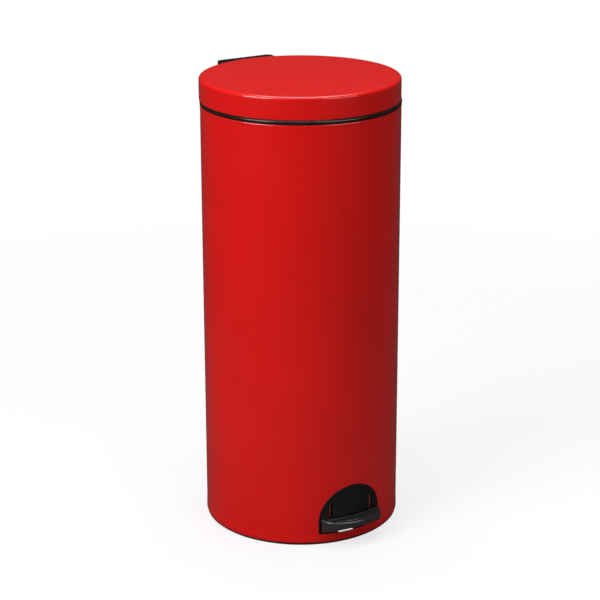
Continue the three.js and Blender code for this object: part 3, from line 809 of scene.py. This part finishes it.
def pedal_loop(inset, height, stand=0.5):
    """The pedal's plan at an inset: a half-ellipse nose, straight sides, a back round the body."""
    half = PEDAL_HIGH.x - inset
    nose = NOSE_Y - PEDAL_LOW.y - inset
    back = BODY_R + stand + inset
    loop = []
    for k in range(NOSE_STEPS + 1):
        a = math.pi * k / NOSE_STEPS
        loop.append((-half * math.cos(a), NOSE_Y - nose * math.sin(a)))
    corner = -math.sqrt(back ** 2 - half ** 2)
    side = [NOSE_Y + (corner - NOSE_Y) * k / 3 for k in (1, 2)]
    loop += [(half, y) for y in side]
    for k in range(25):
        x = half * (1 - k / 12)
        loop.append((x, -math.sqrt(back ** 2 - x ** 2)))
    loop += [(-half, y) for y in side[::-1]]
    return [Vector((x, y, height(y) if callable(height) else height)) for x, y in loop]


def pedal_underside(y):
    (back, low), (front, high) = UNDERSIDE
    return min(low + (high - low) * (back - y) / (back - front), high)


def pedal_skin():
    top, wall, edge = PEDAL_HIGH.z, PEDAL_WALL, PEDAL_EDGE
    profile = [(11.6, top - 0.5), (8.8, top - 0.45), (8.1, top - 0.55), (7.8, top - 0.95),
               (7.0, top - 0.95), (6.7, top - 0.5), (6.2, top - 0.15), (5.4, top - 0.03),
               (edge + 0.6, top)]
    profile += [(edge - r, z) for r, z in arc((0, top - edge), edge, 90, 0, 7)]
    loops = [pedal_loop(inset, z) for inset, z in profile]
    loops += [pedal_loop(0, top - 5.5), pedal_loop(0, top - 6.0, stand=STAND_BELOW)]
    for inset, lift in ((0, 2.0), (0, 0.7), (0.2, 0.2), (0.7, 0.0), (wall - 0.5, 0.0), (wall, 0.5),
                        (wall, 2.0)):
        loops.append(pedal_loop(inset, lambda y: pedal_underside(y) + lift, stand=STAND_BELOW))
    loops += [pedal_loop(inset, top - drop) for inset, drop in
              ((wall, 3.2), (wall + 0.6, 2.6), (11.6, 2.6))]
    vertices, faces = skin(loops, closed_ring=False)
    count = len(loops[0])
    faces += [tuple(range(count)), tuple(range(len(vertices) - count, len(vertices)))]
    plate = place("pedal", vertices, faces)
    neck = prism(box_outline(-28, 28, -150, -114, 1.5), "z", 31.3, 37.2)
    cut(neck, *holes(PEDAL_SCREW_R, PEDAL_SCREW_X, 20, 36, "z", y=PEDAL_SCREW_Y))
    soften(neck, 0.5)
    gather(plate, neck)
    keep(plate, "pedal_plate", "moulded", "pedal", look="pedal", name="pedal")


# ---- small turned parts

def middle(node):
    low, high = corners(node)
    return (low + high) / 2, low, high


def domed_rivet(node, body, axis):
    """A rivet with a domed head at its outer end and a flat upset head at the other."""
    centre, low, high = middle(node)
    k = "xyz".index(axis)
    at = centre.copy()
    at[k] = 0
    head = (high - low)[(k + 1) % 3] / 2
    shank = head * 0.52
    a, b = low[k], high[k]
    profile = [(0, a), (head * 0.6, a, 0.3), (head, a + 0.9, 0.4), (head, a + 1.2, 0.1),
               (shank, a + 1.2), (shank, b - 1.3), (head, b - 1.3, 0.1), (head, b - 0.9, 0.4),
               (head * 0.55, b, 0.6), (0, b)]
    rivet = turned(rounded(profile, FEW), COARSE, axis, at)
    keep(rivet, node, "set", body)


def retaining_clip(node, body, inner):
    """A sprung ring with a gap, as pressed over the end of a pin."""
    centre, low, high = middle(node)
    outer = (high.z - low.z) / 2
    ring = collar(inner, outer, low.x, high.x, "x", (0, centre.y, centre.z), 0.15)
    opening = box_outline(-outer * 0.45, outer * 0.45, -outer - 1, -inner * 0.2, 0.4)
    gap = prism(opening, "x", low.x - 1, high.x + 1)
    gap.data.transform(Matrix.Translation(Vector((0, centre.y, centre.z)) * MM))
    cut(ring, gap)
    keep(ring, node, "sprung", body)


def bush(node, body, inner):
    centre, low, high = middle(node)
    outer = (high.z - low.z) / 2
    ring = collar(inner, outer, low.x, high.x, "x", (0, centre.y, centre.z), 0.35)
    keep(ring, node, "moulded", body)


def cross_pin(node, body):
    centre, low, high = middle(node)
    radius = (high.z - low.z) / 2
    turned_pin = pin(radius, low.x, high.x, "x", (0, centre.y, centre.z), 0.6)
    keep(turned_pin, node, "turned", body)


def pedal_screw(node):
    """A pan-head screw driven up from below, with a cross recess."""
    centre, low, high = middle(node)
    head = (high.x - low.x) / 2
    shank = head * 0.48
    profile = [(0, low.z), (head * 0.7, low.z, 0.8), (head, low.z + 1.1, 0.5),
               (head, low.z + 2.0, 0.15), (shank, low.z + 2.0), (shank, high.z - 1, 0.2), (0, high.z)]
    x, y = centre.xy
    screw = turned(rounded(profile, FEW), COARSE, "z", (x, y, 0))
    for a, b in ((2.0, 0.45), (0.45, 2.0)):
        cut(screw, prism(box_outline(x - a, x + a, y - b, y + b, 0.2), "z", low.z - 1, low.z + 1.2))
    keep(screw, node, "driven", "pedal")


# ---- rear housing and lid hinge

HOUSING_SKIN = 3.0
LID_SWEEP_R = 151.8
PIN_BORE = 2.85
AXLE_BORE = 4.35
AXLE_BUSH_BORE = 4.3
RIVET_BORE = 2.35
HOUSING_RIVET = (25.0, 616.0)


def rear_sector(y, near, far, half):
    """The plan of a curved plate at the rear, between two radii about a point on Y."""
    span = math.degrees(math.asin(half / far))
    return arc((0, y), far, 90 + span, 90 - span, 28) + arc((0, y), near, 90 - span, 90 + span, 28)


def housing_skin():
    half, back = HOUSING_HIGH.x, HOUSING_HIGH.y
    low, top = HOUSING_LOW.z, HOUSING_HIGH.z
    ledge = BODY_TOP - 2
    outside = rounded([(-half, 110), (half, 110), (half, back, 7), (-half, back, 7)])
    inner = half - HOUSING_SKIN
    deep = back - HOUSING_SKIN
    room = rounded([(-inner, 100), (inner, 100), (inner, deep, 4.2), (-inner, deep, 4.2)])
    walls = cut(prism(outside, "z", low, top), prism(room, "z", low - PAST, top + PAST))
    ledge_plate = prism(rounded([
        (-half + 1, 110), (half - 1, 110), (half - 1, back - 1, 6), (-half + 1, back - 1, 6),
    ]), "z", ledge - 2.5, ledge)
    mount = prism(rear_sector(0, BODY_R - 1, BODY_R + 3, half - 1), "z", low + 0.1, ledge - 1)
    weld(walls, ledge_plate, mount)
    cut(walls, bore(BODY_R + 0.5, low - PAST, top + PAST, sides=FINE))
    cut(walls, bore(LID_SWEEP_R, ledge, top + PAST, sides=FINE))
    cut(walls, bore(PIN_BORE, -60, 60, "x", (0, LID_HINGE.y, LID_HINGE.z)))
    x, z = HOUSING_RIVET
    cut(walls, *holes(RIVET_BORE, x, 130, 160, "y", z=z))
    soften(walls, 0.7, 3)
    keep(walls, "hinge_housing", "moulded", "bin")


KNUCKLE_RIVET = (25.0, 658.4)
KNUCKLE_PLATE = (0.35, 3.35)     # how far its two faces stand off the lid
BARREL_R = 6.2


def knuckle_skin():
    half = corners("hinge_knuckle")[1].x
    near, far = (LID_R + reach for reach in KNUCKLE_PLATE)
    plate = prism(rear_sector(LID_Y, near, far, half), "z", 654, 676)
    y, z = LID_HINGE.y, LID_HINGE.z
    low, high = z - BARREL_R, z + BARREL_R
    for x0, x1 in ((12, 32), (-32, -12)):
        arm = prism(rounded([(135, low), (y, low), (y, high), (135, high)]), "x", x0, x1)
        weld(plate, arm, pin(BARREL_R, x0, x1, "x", (0, y, z), 0.6, MEDIUM))
    cut(plate, bore(near, 640, 690, at=(0, LID_Y, 0), sides=FINE))
    cut(plate, prism(box_outline(-3.5, 3.5, 640, 673.2, 1), "y", 130, 170))
    cut(plate, bore(4.45, -60, 60, "x", (0, y, z)))
    x, height = KNUCKLE_RIVET
    cut(plate, *holes(RIVET_BORE - 0.2, x, 130, 170, "y", z=height))
    soften(plate, 0.5)
    keep(plate, "hinge_knuckle", "moulded", "lid")


LEVER_ANGLE = math.radians(34.25)
LEVER_HALF = 2.0


def lever_point(along, side):
    """A point of the lid lever, this far from the hinge pin along the arm and to its side."""
    c, s = math.cos(LEVER_ANGLE), math.sin(LEVER_ANGLE)
    return (LID_HINGE.y - along * c + side * s, LID_HINGE.z - along * s - side * c)


def lid_lever_skin():
    under_lid = LID_HIGH.z - SHEET - LID_CROWN - 0.1
    half = LEVER_HALF
    hinge = (0, LID_HINGE.y, LID_HINGE.z)
    hub = pin(7, -half, half, "x", hinge, 0.4, MEDIUM)
    arm = prism(rounded([
        lever_point(0, -5.8), (*lever_point(36, -5.8), 3), (*lever_point(36, 5.8), 3),
        lever_point(0, 5.8),
    ]), "x", -half + 0.02, half - 0.02)
    gusset = prism(rounded([
        lever_point(31, -5), (LID_Y + 112, under_lid, 2), (LID_Y + 139.5, under_lid, 3),
        (LID_Y + 143.2, 671.5, 3), (LID_HINGE.y, 671.5), lever_point(8, 3),
    ]), "x", -half + 0.04, half - 0.04)
    weld(arm, gusset, hub)
    ends = ((19, -4), (33.7, -4), (33.7, 4), (19, 4))
    slot = rounded([(*lever_point(along, side), 3.9) for along, side in ends], 8)
    cut(arm, prism(slot, "x", -half - 1, half + 1))
    cut(arm, bore(PIN_BORE, -half - 1, half + 1, "x", hinge))
    soften(arm, 0.25)
    keep(arm, "lid_lever", "pressed", "lid")


def lid_inner_ring_skin():
    low = LID_LOW.z
    r = LID_R - SHEET - GAP
    ring = turned(rounded([
        (143.9, low + 0.7, 0.4), (r - 0.9, low + 0.9, 0.3), (r - 0.9, low + 3.0), (r, low + 3.6, 0.2),
        (r, 657.2, 0.3), (138.5, 657.2, 0.5), (138.5, 655.2, 0.5), (143.9, 655.2, 0.5),
    ], FEW), FINE, at=(0, LID_Y, 0))
    x = KNUCKLE_RIVET[0]
    cut(ring, prism(box_outline(-x - 5.5, x + 5.5, 120, 165, 1), "z", 640, 665))
    keep(ring, "lid_inner_ring", "moulded", "lid")


def lid_buffer_skin(node):
    """A rubber stud with a rounded top and a thin collar at its foot."""
    centre, low, high = middle(node)
    r = (high.x - low.x) / 2
    stud = turned(rounded([
        (0, low.z), (r, low.z, 0.1), (r, low.z + 0.9, 0.2), (r * 0.8, low.z + 1.2, 0.2),
        (r * 0.8, high.z - 2.4, 0.2), (r, high.z - 1.9, 0.2), (r, high.z, 0.8), (0, high.z),
    ], FEW), COARSE, "z", (centre.x, centre.y, 0))
    keep(stud, node, "stud", "bin")


# ---- bracket, shelf and lever under the bucket

SHELF_RIVET = (20.0, -108.0)
BRACKET_STEEL = 2.6
SHELF_STEEL = 1.3
TAB_Z = (SLOT_Z[0] + 1, SLOT_Z[1] - 1)     # the heights between which its edges reach the panel


def pivot_bracket_skin():
    low, high = corners("pivot_bracket")
    half, top = high.x, high.z
    outside = rounded([(-half, low.z), (half, low.z), (half, top, 4), (-half, top, 4)])
    inner, roof = half - BRACKET_STEEL, top - BRACKET_STEEL
    under, front, wide = low.z - PAST, low.y - PAST, half + PAST
    room = rounded([(-inner, under), (inner, under), (inner, roof, 1.5), (-inner, roof, 1.5)])
    bracket = cut(prism(outside, "y", low.y, high.y), prism(room, "y", front, high.y + PAST))
    neck = PEDAL_PIVOT.y - 11
    open_front = rounded([(front, under), (neck, under, 3), (neck, 40, 3), (front, 40)])
    cut(bracket, prism(open_front, "x", -wide, wide))
    cheek = low.y + 1.6
    for z0, z1 in ((under, TAB_Z[0]), (TAB_Z[1], top + PAST)):
        cut(bracket, prism([(front, z0), (cheek, z0), (cheek, z1), (front, z1)], "x", -wide, wide))
    cut(bracket, prism(box_outline(-half + 5, half - 5, front, -134, 2), "z", top - 8, top + PAST))
    cut(bracket, bore(AXLE_BORE, -50, 50, "x", (0, PEDAL_PIVOT.y, PEDAL_PIVOT.z)))
    x, y = SHELF_RIVET
    cut(bracket, *holes(RIVET_BORE, x, top - 10, top + PAST, "z", y=y))
    soften(bracket, 0.35)
    keep(bracket, "pivot_bracket", "pressed", "bin")


def shelf_skin():
    r, low, rim = SHELF_HIGH.x, SHELF_LOW.z, SHELF_HIGH.z
    plate = turned(rounded([
        (0, low), (r, low, 2.2), (r, rim, 0.5), (r - SHELF_STEEL, rim, 0.5),
        (r - SHELF_STEEL, low + SHELF_STEEL, 1.2), (0, low + SHELF_STEEL),
    ]), FINE)
    below, above = low - PAST, low + PAST
    cut(plate, bore(5.5, below, above, "z", (ROD_X, ROD_Y, 0)))
    x, y = SHELF_RIVET
    cut(plate, *holes(RIVET_BORE, x, below, above, "z", y=y))
    keep(plate, "shelf_plate", "pressed", "bin")


ROD_BEND = 4.0


def rod_guide_skin(node):
    low, high = corners(node)
    strap = prism(box_outline(low.x, high.x, low.y, high.y, 3.2), "z", low.z, high.z)
    cut(strap, bore(ROD_R + GAP, low.z - 1, high.z + 1, "z", (ROD_X, ROD_Y, 0)))
    soften(strap, 0.5)
    keep(strap, node, "strap", "bin")


def push_rod_skin():
    foot, top = ROD_LOW.z + ROD_R, ROD_HIGH.z - ROD_R
    end = ROD_LOW.x + ROD_R * 0.6

    def at(x, z):
        return (x, ROD_Y, z)
    straight = top - foot - 2 * ROD_BEND
    path = [at(end, foot)]
    path += bend(at(ROD_X - ROD_BEND, foot), at(ROD_X, foot), at(ROD_X, foot + ROD_BEND))
    path += [at(ROD_X, foot + ROD_BEND + straight * k / 12) for k in range(1, 12)]
    path += bend(at(ROD_X, top - ROD_BEND), at(ROD_X, top), at(ROD_X - ROD_BEND, top))
    path += [at(end, top)]
    keep(swept(path, ROD_R, 24), "push_rod", "bent", "rod", angle=50)


SPRING_TURNS = 10
SPRING_STEPS = 28       # to a turn
SPRING_WIRE_R = 0.7


def spring_skin():
    """A helical spring whose first and last turns lie close together."""
    low, high = SPRING_LOW, SPRING_HIGH
    r = (high.x - low.x) / 2 - SPRING_WIRE_R
    path = []
    steps = SPRING_STEPS * SPRING_TURNS
    rise = high.z - low.z - 2 * SPRING_WIRE_R
    flat = 1.6 * SPRING_WIRE_R / rise
    for k in range(steps + 1):
        turn = SPRING_TURNS * k / steps
        if turn < 1:
            share = flat * turn
        elif turn > SPRING_TURNS - 1:
            share = 1 - flat * (SPRING_TURNS - turn)
        else:
            share = flat + (1 - 2 * flat) * (turn - 1) / (SPRING_TURNS - 2)
        angle = 2 * math.pi * turn
        height = low.z + SPRING_WIRE_R + rise * share
        path.append((ROD_X + r * math.cos(angle), ROD_Y + r * math.sin(angle), height))
    spring = swept(path, SPRING_WIRE_R, 10)
    keep(spring, "return_spring", "coil", "bin", angle=60)
    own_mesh(spring)


def rod_collar_skin():
    low, high = corners("rod_collar")
    ring = collar(ROD_R + GAP, (high.x - low.x) / 2, low.z, high.z, "z", (ROD_X, ROD_Y, 0))
    keep(ring, "rod_collar", "turned", "rod")


def pedal_lever_skin():
    low, high = corners("pedal_lever")
    y, z = PEDAL_PIVOT.y, PEDAL_PIVOT.z
    bar = prism(rounded([(y, z - 7), (high.y, z - 7, 4), (high.y, z + 7, 4), (y, z + 7)]), "x", -2, 2)
    hub = pin(8.2, low.x, high.x, "x", (0, y, z), 0.5, MEDIUM)
    plate = prism(box_outline(-26, 26, low.y, y, 3), "z", 28, 31)
    weld(hub, bar, plate)
    cut(hub, bore(5.7, -50, 50, "x", (0, y, z)))
    slot = box_outline(ROD_Y - 3.4, ROD_Y + 5.8, z - 3.1, z + 3.1, 3.0)
    cut(hub, prism(slot, "x", -4, 4))
    cut(hub, *holes(PEDAL_SCREW_R, PEDAL_SCREW_X, 20, 36, "z", y=PEDAL_SCREW_Y))
    soften(hub, 0.3)
    keep(hub, "pedal_lever", "welded", "pedal")


# ---- bucket and bail

BAIL_R = 121.0
BAIL_WIRE_R = 2.0
BAIL_BEND = 5.0
GRIP_HALF_ANGLE = 0.38


def bucket_skin():
    low, high = BUCKET_LOW.z, BUCKET_HIGH.z
    rim = BUCKET_HIGH.x
    shell = turned(rounded([
        (0, low + 2.6), (117, low + 2.6, 1), (119, low, 1), (126, low, 1.8), (130, high - 7, 0.4),
        (rim, high - 7, 0.6), (rim, high, 1.6), (128, high, 1.2), (124, low + 4.8, 4), (0, low + 4.8),
    ]), FINE)
    cut(shell, bore(BAIL_WIRE_R + GAP, -140, 140, "x", (0, 0, BAIL_HINGE.z)))
    keep(shell, "bucket", "moulded", "bin")


def hoop(half_angle, steps):
    """Points of the bail's hoop, to an angle on each side of its foremost point."""
    angles = [-math.pi / 2 + half_angle * (2 * k / steps - 1) for k in range(steps + 1)]
    return [(BAIL_R * math.cos(a), BAIL_R * math.sin(a), BAIL_HINGE.z) for a in angles]


def bail_skin():
    z = BAIL_HINGE.z
    low, high = corners("bail_wire")
    turn = BAIL_BEND / BAIL_R
    curve = hoop(math.pi / 2 - turn, 60)
    ends = [(x, 0, z) for x in (-BAIL_R - BAIL_BEND, -BAIL_R, BAIL_R, BAIL_R + BAIL_BEND)]
    path = [(low.x + 1.2, 0, z)] + bend(ends[0], ends[1], curve[0]) + curve[1:-1]
    path += bend(curve[-1], ends[2], ends[3]) + [(high.x - 1.2, 0, z)]
    keep(swept(path, BAIL_WIRE_R, 16), "bail_wire", "bent", "bail", angle=60)


def grip_skin():
    """The bail's moulded grip, with four shallow hollows for the fingers."""
    def radius(share):
        fingers = 0.5 - 0.5 * math.cos(8 * math.pi * min(max((share - 0.1) / 0.8, 0.0), 1.0))
        ends = smooth_step(share, 0.0, 0.03) * smooth_step(1 - share, 0.0, 0.03)
        return 4.1 + 0.9 * ends - 0.55 * fingers
    grip = swept(hoop(GRIP_HALF_ANGLE, 64), radius, 24)
    cut(grip, swept(hoop(GRIP_HALF_ANGLE * 1.06, 40), BAIL_WIRE_R + GAP, 16))
    keep(grip, "bail_grip", "moulded", "bail")


# ---- camera, lights and floor

CAMERA_LENS = 114.0
CAMERA_AZIMUTH = -31.1
CAMERA_PITCH = 18.78
CAMERA_YAW = 0.035      # turned this far to its left of the bin's axis
CAMERA_ROLL = -0.117
CAMERA_HEIGHT = 1256.5
CAMERA_DISTANCE = 2706.3


def studio_point(angle, distance, height):
    """A point round the bin, at an angle from the camera's side; positive is to the camera's right."""
    a = math.radians(CAMERA_AZIMUTH + angle)
    return Vector((distance * math.sin(a), -distance * math.cos(a), height)) * MM


def add_camera():
    camera = bpy.data.cameras.new("camera")
    camera.lens = CAMERA_LENS
    camera.sensor_width = 36
    holder = bpy.data.objects.new("camera", camera)
    holder.location = studio_point(0, CAMERA_DISTANCE, CAMERA_HEIGHT)
    aim = Matrix.Rotation(math.radians(CAMERA_AZIMUTH + CAMERA_YAW), 3, "Z")
    aim @= Matrix.Rotation(math.radians(90 - CAMERA_PITCH), 3, "X")
    aim @= Matrix.Rotation(math.radians(CAMERA_ROLL), 3, "Z")
    holder.rotation_euler = aim.to_euler()
    bpy.context.scene.collection.objects.link(holder)
    bpy.context.scene.camera = holder


def add_softbox(name, angle, distance, height, size, power, aim):
    light = bpy.data.lights.new(name, "AREA")
    light.shape = "RECTANGLE"
    light.size, light.size_y = size
    light.energy = power
    holder = bpy.data.objects.new(name, light)
    holder.location = studio_point(angle, distance, height)
    toward = Vector((0, 0, aim)) * MM - holder.location
    holder.rotation_euler = toward.to_track_quat("-Z", "Y").to_euler()
    bpy.context.scene.collection.objects.link(holder)


WORLD_FILL = 0.1
WORLD_MIRRORED = 0.045
FLOOR_SIDES = 96
FLOOR_RINGS = range(200, 1701, 250)
FLOOR_FADE = (0.5, 1.65)            # where it fades into the studio, in metres
FLOOR_SEEN = (0.9, 0.9, 0.9)
FLOOR_BOUNCE = (0.3, 0.3, 0.3)
FLOOR_MIRRORED = (0.06, 0.06, 0.06)
FLOOR_GLOW = 0.72
# Under the bin the floor glows, a painted patch of light, only where the gap below the pedal shows it,
# in metres.
INSIDE_R = 0.138
GAP_LEFT, GAP_RIGHT, GAP_FRONT = -0.003, 0.021, -0.095


def add_world():
    """A white studio to look at, and a dimmer one for what it lights."""
    world = bpy.data.worlds.new("studio")
    bpy.context.scene.world = world
    world.use_nodes = True
    tree = world.node_tree
    background = tree.nodes["Background"]
    background.inputs["Color"].default_value = (1, 1, 1, 1)
    path = tree.nodes.new("ShaderNodeLightPath")
    dim = tree.nodes.new("ShaderNodeMapRange")
    dim.inputs["To Min"].default_value = WORLD_FILL
    dim.inputs["To Max"].default_value = WORLD_MIRRORED
    tree.links.new(path.outputs["Is Glossy Ray"], dim.inputs["Value"])
    strength = tree.nodes.new("ShaderNodeMapRange")
    strength.inputs["To Max"].default_value = 1.0
    tree.links.new(dim.outputs["Result"], strength.inputs["To Min"])
    tree.links.new(path.outputs["Is Camera Ray"], strength.inputs["Value"])
    tree.links.new(strength.outputs["Result"], background.inputs["Strength"])


def add_floor():
    """A pale disc under the bin that fades into the white studio, and throws back little light."""
    angles = [2 * math.pi * k / FLOOR_SIDES for k in range(FLOOR_SIDES)]
    loops = [[Vector((math.cos(a) * r, math.sin(a) * r, 0)) for a in angles] for r in FLOOR_RINGS]
    vertices, faces = skin(loops, closed_ring=False)
    faces.append(tuple(range(FLOOR_SIDES)))
    floor = place("floor", vertices, faces)
    n = Nodes("floor")
    n.tree.nodes.remove(n.shader)
    rays = n.add("ShaderNodeLightPath").outputs
    camera_ray = rays["Is Camera Ray"]
    bounce = n.mix(rays["Is Glossy Ray"], FLOOR_BOUNCE, FLOOR_MIRRORED)
    mottle = n.ramp(n.noise(3, 3), *SOFTLY)
    seen = n.mix(mottle, shade(FLOOR_SEEN, 0.985), FLOOR_SEEN)
    matt = n.add("ShaderNodeBsdfDiffuse")
    n.link(n.mix(camera_ray, bounce, seen), matt.inputs["Color"])

    length = n.add("ShaderNodeVectorMath", operation="LENGTH")
    n.link(n.place, length.inputs[0])
    distance = length.outputs["Value"]
    split = n.add("ShaderNodeSeparateXYZ")
    n.link(n.place, split.inputs["Vector"])
    x, y = split.outputs["X"], split.outputs["Y"]
    # Painted light: the floor under the bin glows in a patch where the gap below the pedal shows it.
    in_gap = n.math("GREATER_THAN", x, GAP_LEFT)
    in_gap = n.math("MULTIPLY", in_gap, n.math("LESS_THAN", x, GAP_RIGHT))
    in_gap = n.math("MULTIPLY", in_gap, n.math("LESS_THAN", y, GAP_FRONT))
    lit = n.math("MAXIMUM", n.math("GREATER_THAN", distance, INSIDE_R), in_gap)
    shine = n.math("MULTIPLY", n.math("MULTIPLY", camera_ray, lit), FLOOR_GLOW)

    def blend(share, first, second):
        mixed = n.add("ShaderNodeMixShader")
        n.link(share, mixed.inputs["Fac"])
        n.link(first.outputs[0], mixed.inputs[1])
        n.link(second.outputs[0], mixed.inputs[2])
        return mixed
    surface = blend(shine, matt, n.add("ShaderNodeEmission"))
    faded = blend(n.ramp(distance, *FLOOR_FADE), surface, n.add("ShaderNodeBsdfTransparent"))
    n.link(faded.outputs[0], n.tree.nodes["Material Output"].inputs["Surface"])
    floor.data.materials.append(n.material)


# ---- the scene

bpy.context.scene.view_settings.view_transform = "Standard"
add_camera()
add_world()
add_floor()
# Each light's angle from the camera's side, distance, height, size in metres, power in watts,
# and the height of the point on the bin's axis that it faces.
for light in (
    ("key", -50, 2200, 1650, (1.4, 1.6), 50.5, 420),
    ("front_strip", -4, 1500, 2700, (3.6, 0.35), 15, 300),
    ("fill", 48, 2300, 1400, (1.6, 1.6), 14, 420),
    ("overhead", 170, 350, 2500, (1.6, 1.6), 40, 0),
):
    add_softbox(*light)

body_skin()
base_ring_skin()
rim_band_skin()
lid_skin()
panel_skin()
pedal_skin()

housing_skin()
knuckle_skin()
lid_lever_skin()
lid_inner_ring_skin()
for number in (1, 2, 3):
    lid_buffer_skin(f"lid_buffer_{number}")
cross_pin("hinge_pin", "bin")
cross_pin("pedal_axle", "bin")
for side in ("left", "right"):
    retaining_clip(f"hinge_pin_clip_{side}", "bin", PIN_BORE)
    retaining_clip(f"pedal_axle_clip_{side}", "bin", AXLE_BORE)
    bush(f"knuckle_bush_{side}", "lid", PIN_BORE)
    bush(f"pedal_bush_{side}", "pedal", AXLE_BUSH_BORE)
    domed_rivet(f"housing_rivet_{side}", "bin", "y")
    domed_rivet(f"knuckle_rivet_{side}", "lid", "y")
    domed_rivet(f"shelf_rivet_{side}", "bin", "z")
    pedal_screw(f"pedal_screw_{side}")

pivot_bracket_skin()
shelf_skin()
pedal_lever_skin()
rod_guide_skin("rod_guide_lower")
rod_guide_skin("rod_guide_upper")
push_rod_skin()
rod_collar_skin()
retaining_clip("rod_clip_top", "rod", ROD_R + GAP)
retaining_clip("rod_clip_bottom", "rod", ROD_R + GAP)
spring_skin()
bucket_skin()
bail_skin()
grip_skin()
